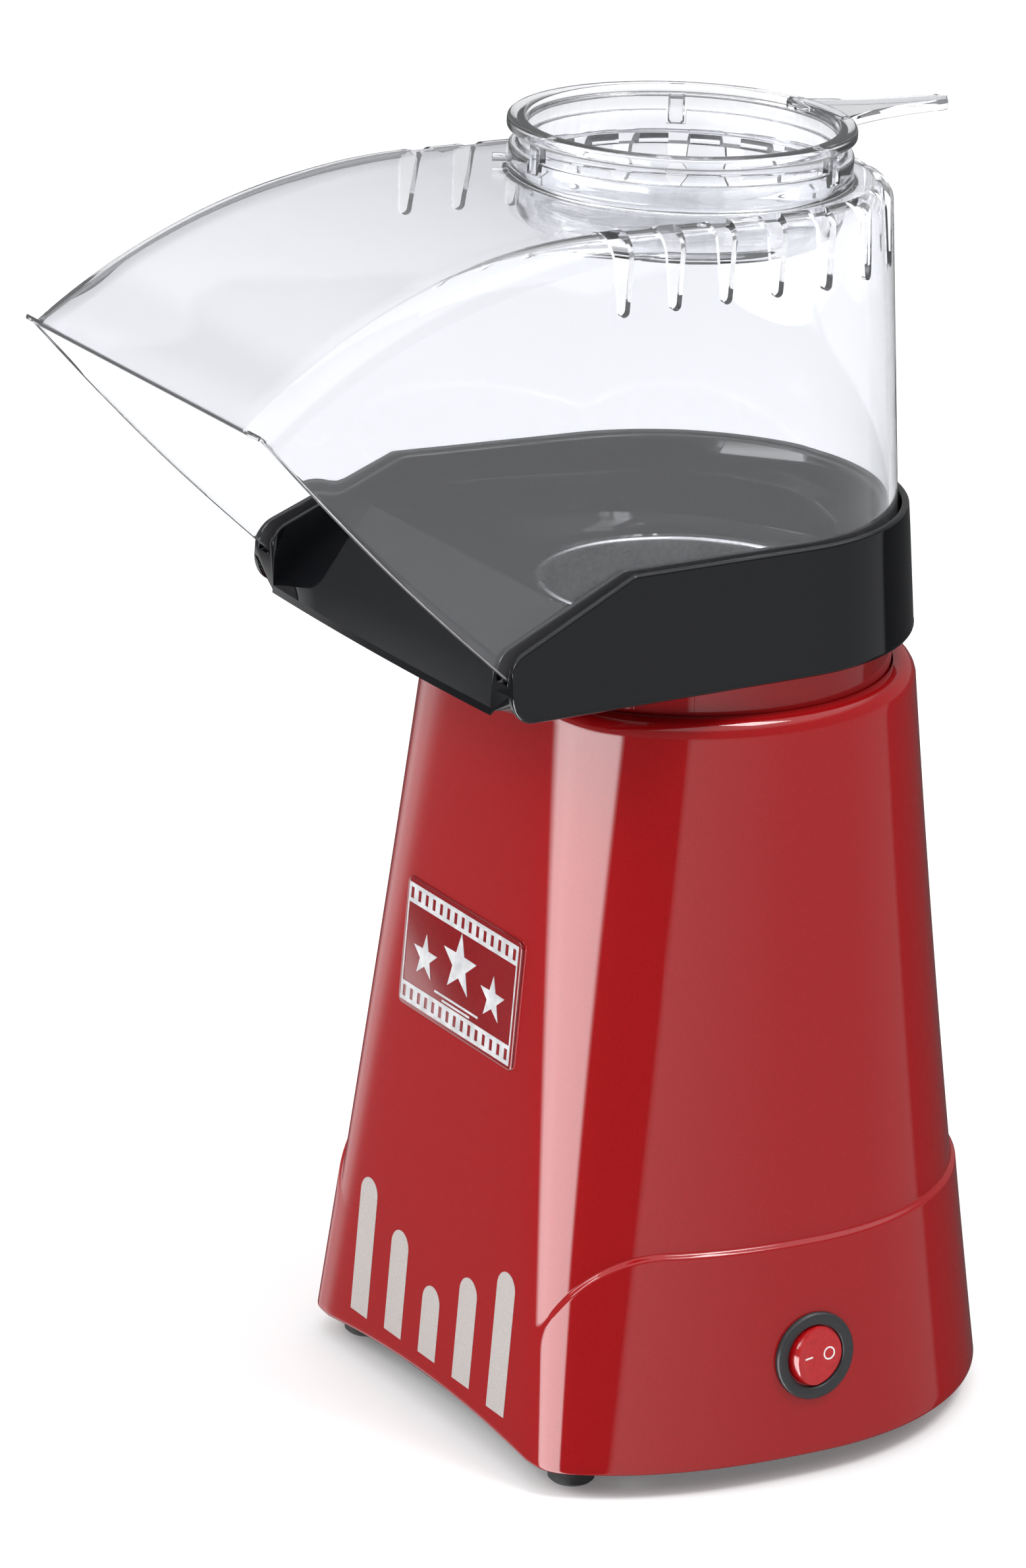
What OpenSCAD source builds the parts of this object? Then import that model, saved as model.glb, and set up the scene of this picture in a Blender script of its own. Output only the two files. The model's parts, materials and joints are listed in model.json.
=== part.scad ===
// Hot-air popcorn maker: a flared body with a flat front, a chute tray on a neck ring,
// a clear hood that stands in the tray's channel and a measuring cup that closes the hood.
// +Z is up, -Y is the side the popcorn comes out of. The origin is on the table,
// under the middle of the whole outline.

/* [Body] */
// Gap between the table and the body's lower edge
edge_z = 6.6; // [5.5:0.1:9]
// Height of the body from its lower edge to the top of its shoulder
body_h = 193.4; // [165:0.2:235]
// Half the body's width at its lower edge
base_half_w = 78.2; // [70:0.2:95]
// Distance from the body's own centre to its back at the lower edge
base_back = 81.9; // [74:0.2:99]
// Distance from the body's own centre forward to where its sides would meet
base_front = 95; // [85:0.5:114]
// How far behind the cup axis the body's own centre lies at the lower edge
base_shift = 12; // [4:0.5:15]
// Distance from the cup axis forward to the flat front at the lower edge
front_y = 61.2; // [56:0.2:66]
// Backward lean of the flat front in degrees
front_lean = 3.3; // [2:0.1:4]
// Wall of the body
body_wall = 2.4; // [1.8:0.1:3]
// How far the skirt stands out from the body
skirt_t = 1.3; // [0.6:0.1:2]
// Height of the skirt above the body's lower edge
skirt_h = 57.4; // [45:0.2:69]
// Rise of the arch in the front lower edge
front_arch = 3.4; // [0:0.1:5]

/* [Neck and tray] */
// Height of neck seen between the shoulder and the tray
neck_h = 9; // [6:0.5:12]
// Wall of the neck ring
neck_wall = 2.2; // [1.6:0.1:3]
// Width of the shoulder outside the neck
shoulder_w = 6; // [4:0.5:8]
// Height of the tray
tray_h = 32.5; // [28:0.5:39]
// Radius inside the tray's inner wall at the lip
chute_r = 51; // [45:0.5:61]
// Thickness of the tray's inner wall
inner_wall = 1.6; // [1.2:0.1:2.4]
// Width of the channel that the hood stands in
channel_w = 3.9; // [3.4:0.1:5]
// Thickness of the tray's outer wall
outer_wall = 2; // [1.6:0.1:2.8]
// Depth of the channel below the lip
channel_d = 12; // [8:0.5:15]
// How far in front of the cup axis the tray ends
tray_reach = 82; // [75:0.5:98]
// How far in front of the cup axis the tray's sides begin to fall
fall_y = 46; // [40:0.5:55]
// Drop of the tray's sides at their front ends
fall_h = 16.5; // [12:0.5:19]
// Angle in degrees by which tray and hood open towards the front, each side
flare = 3; // [2:0.1:4]
// Thickness of the tray's floor
floor_t = 2.4; // [1.8:0.1:3]
// Depth of the tray's floor below the lip at the chamber's mouth
dish_d = 24; // [20:0.5:26]
// Depth below the lip of the ridge between chamber and chute
ridge_d = 10; // [8:0.5:12]
// How far in front of the cup axis the ridge lies
ridge_y = 58; // [54:0.5:64]

/* [Hood and cup] */
// Rise of the hood's flat top above the tray's lip
hood_rise = 82.5; // [70:0.5:99]
// Wall of the hood
hood_t = 2.2; // [1.6:0.1:2.4]
// Gap between the hood and the tray's inner wall
hood_gap = 0.75; // [0.5:0.05:1]
// Radius of the arc that curves the hood's top down to the front
arc_r = 158; // [140:1:190]
// How far in front of the cup axis that arc begins
arc_y = 50; // [44:0.5:56]
// How far in front of the cup axis the hood ends
hood_reach = 151; // [135:0.5:170]
// Number of vent slots along each straight side
side_slots = 4; // [2:1:4]
// Number of vent slots round the back
back_slots = 10; // [6:2:12]
// Distance between vent slots
slot_pitch = 15.1; // [13:0.1:17]
// Width of a vent slot at its top
slot_w = 6.6; // [4:0.1:8]
// Depth of the vent slots below the hood's top
slot_d = 19.5; // [14:0.5:24]
// Outer radius of the measuring cup's rim
rim_r = 43.7; // [36.5:0.1:44]
// Wall of the measuring cup
cup_wall = 1.8; // [1.2:0.1:2.2]
// Inside depth of the measuring cup
cup_d = 26; // [20:0.5:31]
// Height of the hood's collar round the cup
collar_h = 6.5; // [5:0.5:8]
// Wall of the collar
collar_wall = 2; // [1.5:0.1:2.5]
// Height of the cup above the collar
cup_show = 7; // [5:0.5:9]
// Distance from the cup axis back to the tip of the cup's handle
handle_reach = 79; // [70:0.5:92]

/* [Front] */
// Width of the badge plate
badge_w = 57.7; // [40:0.5:60]
// Height of the badge plate
badge_h = 34.3; // [25:0.5:40]
// Height of the badge plate's middle above the body's lower edge
badge_z = 113.6; // [100:0.5:125]
// Thickness of the badge plate
badge_t = 1.1; // [0.8:0.1:2]
// Width of a stripe
bar_w = 8.7; // [6:0.1:11]
// Distance between stripes
bar_pitch = 17.7; // [15:0.1:19]
// Height of the middle stripe
bar_mid_h = 19.5; // [15:0.5:24]
// Growth in height from each stripe to the next one outward
bar_step = 9.2; // [6:0.2:11]

/* [Switch] */
// Height of the switch above the body's lower edge
switch_z = 26.4; // [24:0.2:31]
// How far behind the cup axis the switch lies
switch_y = 8; // [4:0.5:10]
// Outer diameter of the switch bezel
bezel_d = 23; // [21:0.5:27]
// Diameter of the rocker's opening in the bezel
rocker_d = 16.5; // [14:0.25:17]
// Angle in degrees of the rocker to each side of its middle
rocker_tilt = 10; // [8:0.5:12]

/* [Inside] */
// How far behind the cup axis the popping chamber lies
chamber_y = 8; // [6:0.5:9]
// Inside radius of the popping chamber
chamber_r = 39.5; // [33:0.5:41]
// Depth of the popping chamber
chamber_h = 74; // [65:0.5:80]
// Sheet thickness of the popping chamber
chamber_t = 0.8; // [0.6:0.1:1.2]
// Gap between chamber and air jacket
jacket_gap = 5.5; // [4:0.5:6]
// Wall of the air jacket
jacket_wall = 2; // [1.5:0.1:2.5]
// Radius of the fan
fan_r = 42; // [35:0.5:44]
// Height of the fan's blades
blade_h = 18; // [14:0.5:20]
// Number of fan blades
blades = 9; // [6:1:12]
// Radius of the motor
motor_r = 15.5; // [13:0.5:18]
// Length of the motor
motor_h = 36; // [30:0.5:40]
// Radius of the motor shaft
shaft_r = 1.6; // [1.2:0.1:2]
// Radius of a foot
foot_r = 6; // [5:0.25:8]
// Radius of the hole for the power cord in its gland
cord_r = 3.4; // [3:0.1:4]

/* [Hidden] */
$fn = 64;

// Gaps: a pin in its hole, parts that lift off, parts in a seat, parts that rest on
// each other; and the depth of a shallow seat
fit = 0.05;
loose = 0.3;
seat_gap = 0.2;
rest_gap = 0.15;
seat_d = 0.5;
// Overshoot of a cut past the face it starts from
cut = 1;

// Heights above the table
shoulder_z = edge_z + body_h;
tray_z = shoulder_z + neck_h;
lip_z = tray_z + tray_h;
dish_z = lip_z - dish_d;
ridge_z = lip_z - ridge_d;
hood_z = lip_z + hood_rise;
collar_z = hood_z + collar_h;
rim_z = collar_z + cup_show;
plate_t = 2.6;
plate_rise = 1.4;
plate_z = edge_z + plate_rise;
plate_top = plate_z + plate_t;

// The tray and the hood share a rounded plan whose centre lies behind the cup axis
plan_y = 4;
tray_draft = 0.09;
hood_draft = 0.07;
lip_out = chute_r + inner_wall + channel_w + outer_wall;
function tray_r(z) = lip_out + (lip_z - z) * tray_draft;
function hood_r(z) = chute_r + inner_wall + hood_gap + hood_t - (z - lip_z) * hood_draft;

// The neck stands inside the tray's lower edge and the shoulder stands round the neck
neck_step = 4.2;
neck_r = tray_r(tray_z) - neck_step;
neck_y = 2.8;
shoulder_r = neck_r + shoulder_w;
neck_set_back = 3.4;
neck_front = front_y - body_h * tan(front_lean) - neck_set_back;

// The cup's wall passes through the collar and its ribs rest on the collar's top
rim_w = 2.9;
cup_r = rim_r - rim_w;
collar_r = cup_r + loose + collar_wall;

// Chamber, jacket, fan and motor stand on one axis
flange_z = dish_z - floor_t;
gasket_t = 1;
chamber_top = flange_z - gasket_t;
chamber_z = chamber_top - chamber_h;
jacket_r = chamber_r + chamber_t + jacket_gap;
jacket_out = jacket_r + jacket_wall;
heater_h = 34;
jacket_z = chamber_z - heater_h;
fan_room = 12;
fan_house_h = blade_h + fan_room;
fan_house_r = jacket_out + 3;
fan_house_z = jacket_z - fan_house_h;
mount_t = 2.5;
mount_z = fan_house_z - mount_t;
motor_z = mount_z - motor_h;
intake_r = fan_r - 11.8;
post_r = 4;
post_edge = 1.5;
post_ring = fan_house_r - post_r - post_edge;
screw_r = 1.5;
head_r = 3;
head_h = 1.6;

// The whole outline is centred front to back
back_y = base_shift + base_back + skirt_t;
y_shift = (hood_reach - back_y) / 2;

// Body surface: a rounded plan cut by the leaning flat front, blended to a soft corner.
// Powers of the ovals and of the corner blend run from the shoulder to the lower edge.
around = 72;
round_power = 2;
front_power = 2.5;
shoulder_corner = 16;
base_corner = 43;
bulge = 0.15;
function mix(a, b, t) = a + (b - a) * t;
function down(z) = (shoulder_z - z) / body_h;
function spread(s) = (1 - bulge) * s + bulge * s * s;
function front_at(z) = front_y - (z - edge_z) * tan(front_lean);
function centre_at(z) = mix(neck_y, base_shift, spread(down(z)));
function blend(a, b, n) = pow(pow(a, -n) + pow(b, -n), -1 / n);
function oval(phi, w, l, e) = pow(pow(abs(cos(phi)) / w, e) + pow(abs(sin(phi)) / l, e), -1 / e);
function cut_front(r, phi, gap, n) = sin(phi) < -0.1 ? blend(r, gap / -sin(phi), n) : r;
function body_rho(phi, z, grow) =
    let (s = spread(down(z)),
         w = mix(shoulder_r, base_half_w, s),
         l = mix(shoulder_r, sin(phi) > 0 ? base_back : base_front, s),
         e = sin(phi) > 0 ? round_power : mix(round_power, front_power, s),
         side = oval(phi, w, l, e) + max(grow, 0),
         gap = centre_at(z) + front_at(z))
    cut_front(side, phi, gap, mix(shoulder_corner, base_corner, s)) + min(grow, 0);
function body_pt(phi, z, grow) =
    let (r = body_rho(phi, z, grow)) [r * cos(phi), centre_at(z) + r * sin(phi), z];

// The skirt's top edge is level round the sides and back and falls to the front corners
skirt_arc = 27;
skirt_from = -34;
front_foot = skirt_h * 0.4;
function skirt_top(phi) =
    let (y = body_pt(phi, edge_z + skirt_h * 0.7, 0)[1],
         t = min(1, max(0, (skirt_from - y) / (front_y + skirt_from))))
    edge_z + skirt_h - skirt_arc * (1 - sqrt(1 - t * t)) - (t >= 0.999 ? front_foot : 0);
arch_half_w = 52;
function edge_at(phi) =
    let (x = body_pt(phi, edge_z, 0)[0])
    sin(phi) < 0 ? edge_z + front_arch * max(0, 1 - pow(x / arch_half_w, 2)) : edge_z;

// Rings of points from the lower edge up to the neck opening
shoulder_drop = 4;
skirt_ramp = 1;
function lower_ring(t, grow) = [for (i = [0 : around - 1]) let (phi = i * 360 / around)
    body_pt(phi, mix(edge_at(phi), skirt_top(phi), t), grow)];
function upper_ring(t, grow) = [for (i = [0 : around - 1]) let (phi = i * 360 / around)
    body_pt(phi, mix(skirt_top(phi) + skirt_ramp, shoulder_z - shoulder_drop, t), grow)];
function neck_rho(phi, r) =
    cut_front(r, phi, neck_y + neck_front - (neck_r - r), shoulder_corner);
function neck_ring_pts(r, z) = [for (i = [0 : around - 1]) let (phi = i * 360 / around)
    [neck_rho(phi, r) * cos(phi), neck_y + neck_rho(phi, r) * sin(phi), z]];
function round_ring(t, z) = [for (i = [0 : around - 1]) let (phi = i * 360 / around,
    p = body_pt(phi, shoulder_z - shoulder_drop, 0),
    q = neck_rho(phi, neck_r + loose), qq = [q * cos(phi), neck_y + q * sin(phi)])
    [mix(p[0], qq[0], t), mix(p[1], qq[1], t), z]];

// The shell's inside ends at the ledge that the neck's flange meets
ledge_gap = 1.5;
ledge_z = shoulder_z - body_wall - ledge_gap;
function inner_ring(t) = [for (i = [0 : around - 1]) let (phi = i * 360 / around)
    body_pt(phi, mix(edge_at(phi), ledge_z, t), -body_wall)];
function plan_at(z, grow) = [for (i = [0 : around - 1]) let (p = body_pt(i * 360 / around, z, grow))
    [p[0], p[1]]];
module neck_disc(z0, z1, r) {
    translate([0, 0, z0]) linear_extrude(z1 - z0)
        polygon([for (p = neck_ring_pts(r, 0)) [p[0], p[1]]]);
}

// Joins rings of equal length into one closed surface; the last ring meets the first
module tube_of(rings) {
    n = len(rings[0]);
    m = len(rings);
    polyhedron([for (r = rings) each r],
        [for (j = [0 : m - 1]) for (i = [0 : n - 1]) let (k = (j + 1) % m, h = (i + 1) % n)
            each [[j * n + i, k * n + i, k * n + h], [j * n + i, k * n + h, j * n + h]]]);
}

// Solid between a lower and an upper outline with the same number of points
module frustum(lo, z_lo, hi, z_hi) {
    n = len(lo);
    polyhedron(concat([for (p = lo) [p[0], p[1], z_lo]], [for (p = hi) [p[0], p[1], z_hi]]),
        concat([[for (i = [0 : n - 1]) i]], [[for (i = [n - 1 : -1 : 0]) n + i]],
            [for (i = [0 : n - 1]) let (h = (i + 1) % n) [i, n + i, n + h, h]]));
}

// Plan of tray and hood: round at the back, straight sides opening to the front
function horseshoe(r, reach) = let (n = 32)
    concat([for (i = [0 : n]) let (a = flare + (180 - 2 * flare) * i / n)
            [r * cos(a), plan_y + r * sin(a)]],
        [for (s = [-1, 1]) [s * (r + (plan_y + reach) * sin(flare)) / cos(flare), -reach]]);
module drafted(r_lo, z_lo, r_hi, z_hi, reach) {
    frustum(horseshoe(r_lo, reach), z_lo, horseshoe(r_hi, reach), z_hi);
}
// A side profile given as [y, z] points, as wide as needed
module side_profile(points, half_w = 90) {
    rotate([90, 0, 90]) translate([0, 0, -half_w]) linear_extrude(2 * half_w) polygon(points);
}
module placed() { translate([0, y_shift, 0]) children(); }
module chamber_axis() { translate([0, chamber_y, 0]) children(); }
module round_holes(n, ring, r, z, h, turn = 0) {
    for (i = [0 : n - 1]) rotate(turn + i * 360 / n) translate([ring, 0, z]) cylinder(h = h, r = r);
}
module screw(z, length) {
    translate([0, 0, z - head_h]) cylinder(h = head_h, r = head_r);
    translate([0, 0, z]) cylinder(h = length, r = screw_r);
}

// ---------- body
boss_z = plate_top;
boss_h = 14;
boss_turns = [38, 142, 218, 322];
boss_in = 2.6;
boss_places = [for (a = boss_turns)
    let (p = body_pt(a, boss_z + boss_h, -body_wall - boss_in)) [p[0], p[1]]];
foot_places = [[53, -48], [-53, -48], [46, 62], [-46, 62]];
switch_at = [body_pt(asin((switch_y - centre_at(edge_z + switch_z)) / base_half_w),
    edge_z + switch_z, skirt_t)[0], switch_y, edge_z + switch_z];
wall_lean = atan((base_half_w - shoulder_r) * 1.1 / body_h);
gland_z = edge_z + 20;
gland_y = body_pt(90, gland_z, skirt_t)[1];
bezel_lap = 1.7;
switch_r = bezel_d / 2 - bezel_lap;
bezel_seat = 1;
gland_wall = 2.6;
gland_r = cord_r + gland_wall;
flange_t = 2.2;
flange_out = 1.6;
flange_r = gland_r + 2.4;
gland_l = 12;
module switch_frame() {
    translate(switch_at) rotate([0, -wall_lean, 0]) translate([-bezel_seat, 0, 0]) children();
}
module gland_frame() { translate([0, gland_y, gland_z]) rotate([-90, 0, 0]) children(); }
module out_of_wall(h, r, from = 0) { translate([from, 0, 0]) rotate([0, 90, 0]) cylinder(h = h, r = r); }
module front_frame(z) {
    translate([0, -front_at(edge_z + z), edge_z + z]) rotate([90 - front_lean, 0, 0]) children();
}
module rounded_plate(w, h, t, r) {
    linear_extrude(t) union() {
        square([w - 2 * r, h], center = true);
        square([w, h - 2 * r], center = true);
        for (x = [-1, 1], y = [-1, 1]) translate([x * (w / 2 - r), y * (h / 2 - r)]) circle(r);
    }
}
bar_r = bar_w / 2;
bar_foot_h = 8.4;
bar_foot_bow = 0.32;
print_t = 0.4;
print_seat = 0.3;
function bar_h(i) = bar_mid_h + bar_step * abs(i);
function bar_foot(i) = bar_foot_h - bar_foot_bow * i * i;
module stripe(i, t) {
    front_frame(0) translate([i * bar_pitch, bar_foot(i), -print_seat]) linear_extrude(t) union() {
        translate([-bar_r, 0]) square([bar_w, bar_h(i) - bar_r]);
        translate([0, bar_h(i) - bar_r]) circle(bar_r);
    }
}
badge_r = 2;

module body_shell() color([0.66, 0.06, 0.08]) placed() difference() {
    union() {
        tube_of(concat(
            [for (t = [0, 0.3, 0.65, 1]) lower_ring(t, skirt_t)],
            [for (t = [0, 0.22, 0.45, 0.7, 1]) upper_ring(t, 0)],
            [round_ring(0.35, shoulder_z - 1.2), round_ring(0.75, shoulder_z),
             round_ring(1, shoulder_z), round_ring(1, shoulder_z - body_wall)],
            [for (t = [1, 0.6, 0.25, 0]) inner_ring(t)]));
        for (p = boss_places) translate([p[0], p[1], boss_z]) cylinder(h = boss_h, r = post_r);
    }
    for (p = boss_places) translate([p[0], p[1], boss_z - cut]) cylinder(h = boss_h - 1, r = screw_r);
    switch_frame() out_of_wall(20, bezel_d / 2 + seat_gap);
    switch_frame() out_of_wall(20, switch_r + seat_gap, -10);
    gland_frame() cylinder(h = 2 * gland_l, r = gland_r, center = true);
    gland_frame() translate([0, 0, flange_out - flange_t]) cylinder(h = gland_l, r = flange_r);
    front_frame(badge_z) translate([0, 0, -seat_d]) rounded_plate(badge_w, badge_h, 6, badge_r);
    for (i = [-2 : 2]) stripe(i, 5);
}

module neck_ring() color([0.6, 0.05, 0.07]) placed() difference() {
    union() {
        neck_disc(ledge_z - neck_wall, tray_z, neck_r);
        translate([0, 0, ledge_z - neck_wall]) linear_extrude(neck_wall)
            polygon(plan_at(ledge_z, -body_wall - loose));
    }
    difference() {
        neck_disc(ledge_z - neck_wall - cut, tray_z - neck_wall, neck_r - neck_wall);
        tray_posts(tray_z - 10, 10);
    }
    chamber_axis() translate([0, 0, shoulder_z - 10]) cylinder(h = 40, r = jacket_out + loose);
    tray_holes(tray_z - 12, 30);
}

// ---------- base
module base_plate() color([0.12, 0.12, 0.13]) placed() difference() {
    union() {
        translate([0, 0, plate_z]) linear_extrude(plate_t)
            polygon(plan_at(plate_top, -body_wall - loose));
        chamber_axis() round_holes(3, post_ring, post_r, plate_top, fan_house_z - plate_top, 90);
    }
    chamber_axis() round_holes(3, post_ring, screw_r, fan_house_z - 12, 14, 90);
    for (p = boss_places) translate([p[0], p[1], plate_z - cut]) cylinder(h = 10, r = screw_r);
    for (p = foot_places) translate([p[0], p[1], plate_z - cut]) cylinder(h = 10, r = stem_r);
    for (i = [-3 : 3]) translate([i * 9, chamber_y, plate_z]) cube([4, 56 - 5 * abs(i), 10], center = true);
}

stem_r = 2.5;
module rubber_feet() color([0.08, 0.08, 0.08]) placed() for (p = foot_places)
    translate([p[0], p[1], 0]) rotate_extrude() polygon([[0, 0], [foot_r - 0.8, 0], [foot_r, 0.8],
        [foot_r, plate_z], [stem_r, plate_z], [stem_r, plate_top], [stem_r + 0.8, plate_top],
        [stem_r - 0.5, plate_top + 3], [0, plate_top + 3]]);

module base_screws() color([0.7, 0.7, 0.72]) placed() for (p = boss_places)
    translate([p[0], p[1], 0]) screw(plate_z, boss_h - 3);

module post_screws() color([0.7, 0.7, 0.72]) placed() chamber_axis()
    for (i = [0 : 2]) rotate(90 + i * 120) translate([post_ring, 0, fan_house_z + floor_t])
        mirror([0, 0, 1]) screw(0, 12);

// ---------- tray
mouth_r = chamber_r + loose;
chute_front = tray_z + 2;
dish_end = 37;
front_chamfer_h = 7;
front_chamfer_w = 3;
front_wall = 5.5;
post_hole_r = 3;
tray_post_ring = jacket_out + post_hole_r + 0.8;
tray_post_turns = [-35, -3, 183, 215];
module tray_posts(z, h) { chamber_axis() for (a = tray_post_turns) rotate(a)
    translate([tray_post_ring, 0, z]) cylinder(h = h, r = post_hole_r); }
module tray_holes(z, h) { chamber_axis() for (a = tray_post_turns) rotate(a)
    translate([tray_post_ring, 0, z]) cylinder(h = h, r = screw_r); }
channel_end_d = 7;
function channel_line(up) = [[90, lip_z - channel_d + up], [-fall_y, lip_z - channel_d + up],
    [-tray_reach, lip_z - fall_h - channel_end_d + up]];
module chute_tray() color([0.05, 0.055, 0.06]) placed() difference() {
    union() {
        difference() {
            intersection() {
                drafted(tray_r(tray_z), tray_z, tray_r(lip_z), lip_z, tray_reach + 4);
                side_profile([[90, tray_z], [90, lip_z], [-fall_y, lip_z],
                    [-tray_reach, lip_z - fall_h], [-tray_reach, tray_z + front_chamfer_h],
                    [-tray_reach + front_chamfer_w, tray_z]]);
            }
            intersection() {
                drafted(tray_r(tray_z) - outer_wall, tray_z - cut, tray_r(lip_z) - outer_wall, lip_z,
                    tray_reach + 9);
                side_profile([[90, tray_z - cut], [90, flange_z], [-tray_reach + 13, flange_z],
                    [-tray_reach + front_wall, tray_z - cut]]);
            }
            intersection() {
                drafted(chute_r - 3, tray_z - cut, chute_r - 3, lip_z, tray_reach + 9);
                side_profile([[1 - dish_end, tray_z], [-dish_end, flange_z],
                    [1 - ridge_y, ridge_z - floor_t], [-tray_reach + front_wall, tray_z]]);
            }
        }
        tray_posts(tray_z, dish_z - tray_z - 1);
    }
    intersection() {
        drafted(chute_r - 1, dish_z - 8, chute_r, lip_z + cut, tray_reach + 9);
        side_profile([[90, dish_z], [-dish_end, dish_z], [-ridge_y, ridge_z], [-tray_reach, chute_front],
            [-tray_reach - 9, chute_front - 8], [-tray_reach - 9, lip_z + cut], [90, lip_z + cut]]);
    }
    difference() {
        intersection() {
            drafted(tray_r(tray_z) - outer_wall, tray_z, tray_r(lip_z + cut) - outer_wall, lip_z + cut,
                tray_reach + 9);
            side_profile(concat(channel_line(0), [[-tray_reach - 9, lip_z - fall_h - channel_end_d],
                [-tray_reach - 9, lip_z + cut], [90, lip_z + cut]]));
        }
        drafted(chute_r + inner_wall, tray_z - cut, chute_r + inner_wall, lip_z + 2 * cut,
            tray_reach + 20);
    }
    chamber_axis() translate([0, 0, tray_z]) cylinder(h = tray_h, r = mouth_r);
    tray_holes(tray_z - cut, dish_z - tray_z - 2);
}

module tray_screws() color([0.7, 0.7, 0.72]) placed() chamber_axis() for (a = tray_post_turns)
    rotate(a) translate([tray_post_ring, 0, 0]) screw(tray_z - 10, 13);

// ---------- hood and cup
hood_low = lip_z - channel_d + rest_gap;
hood_foot = hood_low - 14;
arc_steps = 16;
slot_foot_r = 1.5;
side_slot_from = 0.45;
back_slot_from = 9.4;
function arc_end(y, r) = asin((y - arc_y) / r);
function top_line(r, y_end) = [for (i = [0 : arc_steps]) let (a = arc_end(y_end, r) * i / arc_steps)
    [-arc_y - r * sin(a), hood_z - arc_r + r * cos(a)]];
module slot(from) {
    translate([from, 0, 0]) rotate([90, 0, 90]) linear_extrude(40) union() {
        polygon([[-slot_w / 2, hood_z + cut], [-slot_foot_r, hood_z - slot_d + slot_foot_r],
            [slot_foot_r, hood_z - slot_d + slot_foot_r], [slot_w / 2, hood_z + cut]]);
        translate([0, hood_z - slot_d + slot_foot_r]) circle(slot_foot_r);
    }
}
module clear_hood() color([0.85, 0.87, 0.9, 0.4]) placed() difference() {
    union() {
        intersection() {
            drafted(hood_r(hood_low), hood_foot, hood_r(hood_z), hood_z, hood_reach + 4);
            side_profile(concat([[90, hood_low], [90, hood_z]], top_line(arc_r, hood_reach),
                [[-tray_reach + 1.5, lip_z - fall_h - channel_end_d + 0.5]],
                [[-fall_y, hood_low]]));
        }
        translate([0, 0, hood_z - hood_t]) cylinder(h = collar_h + hood_t, r = collar_r);
    }
    intersection() {
        drafted(hood_r(hood_low) - hood_t, hood_foot, hood_r(hood_z) - hood_t, hood_z,
            hood_reach + 40);
        side_profile(concat([[90, hood_low - 20], [90, hood_z - hood_t]],
            top_line(arc_r - hood_t, hood_reach + 20), [[-hood_reach - 20, hood_low - 20]]));
    }
    translate([0, 0, hood_z - hood_t - cut]) cylinder(h = collar_h + hood_t + 2 * cut, r = cup_r + loose);
    for (s = [0, 1], i = [0 : side_slots - 1]) mirror([s, 0, 0])
        translate([0, plan_y - slot_pitch * (i + side_slot_from), 0]) slot(collar_r + 2);
    for (i = [0 : back_slots - 1]) translate([0, plan_y, 0])
        rotate(mix(back_slot_from, 180 - back_slot_from, i / (back_slots - 1))) slot(collar_r + 2.5);
}

rib_w = 5;
rib_turns = [30, 150, 270];
rim_t = 2.8;
handle_root_w = 24;
handle_tip_r = 3.4;
handle_t = rim_t;
handle_drop = 0.3;
module measuring_cup() color([0.85, 0.87, 0.92, 0.4]) placed() {
    rotate_extrude() polygon([[0, rim_z - cup_d - cup_wall], [cup_r - 2, rim_z - cup_d - cup_wall],
        [cup_r, rim_z - cup_d], [cup_r, rim_z - rim_t], [rim_r, rim_z - rim_t + 0.4], [rim_r, rim_z - 0.8],
        [rim_r - 0.8, rim_z], [cup_r - cup_wall, rim_z], [cup_r - cup_wall, rim_z - cup_d + 1],
        [cup_r - cup_wall - 1, rim_z - cup_d], [0, rim_z - cup_d]]);
    for (a = rib_turns) rotate(a) translate([cup_r - 0.5, -rib_w / 2, collar_z + rest_gap])
        cube([rim_r - cup_r - 0.5, rib_w, cup_show - 2 - rest_gap]);
    translate([0, 0, rim_z - handle_t - handle_drop]) linear_extrude(handle_t) union() {
        polygon([[-handle_root_w / 2, cup_r - 1], [handle_root_w / 2, cup_r - 1],
            [handle_tip_r, handle_reach - handle_tip_r], [-handle_tip_r, handle_reach - handle_tip_r]]);
        translate([0, handle_reach - handle_tip_r]) circle(handle_tip_r);
    }
}

// ---------- front
module badge_plate() color([0.55, 0.04, 0.06]) placed() front_frame(badge_z)
    translate([0, 0, -seat_d]) rounded_plate(badge_w, badge_h, badge_t, badge_r);
module front_stripes() color([0.75, 0.72, 0.7]) placed() for (i = [-2 : 2]) stripe(i, print_t);

// ---------- switch, in a frame whose +X points out of the wall; the rocker turns about Z
bezel_t = 2.4;
switch_len = 14;
rocker_r = rocker_d / 2 - seat_gap;
pivot_x = -1;
pin_r = 0.7;
pin_reach = switch_r - 0.4;
module switch_bezel() color([0.07, 0.07, 0.07]) placed() switch_frame() difference() {
    union() {
        out_of_wall(bezel_t - 0.8, bezel_d / 2);
        translate([bezel_t - 0.8, 0, 0]) rotate([0, 90, 0])
            cylinder(h = 0.8, r1 = bezel_d / 2, r2 = bezel_d / 2 - 0.8);
    }
    out_of_wall(bezel_t + 2, rocker_d / 2, -1);
}
module switch_body() color([0.1, 0.1, 0.1]) placed() switch_frame() difference() {
    out_of_wall(switch_len, switch_r, -switch_len);
    out_of_wall(switch_len, rocker_d / 2 + seat_gap, -switch_len + 3);
    translate([pivot_x, 0, 0]) cylinder(h = 2 * switch_r, r = pin_r + fit, center = true);
}
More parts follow.
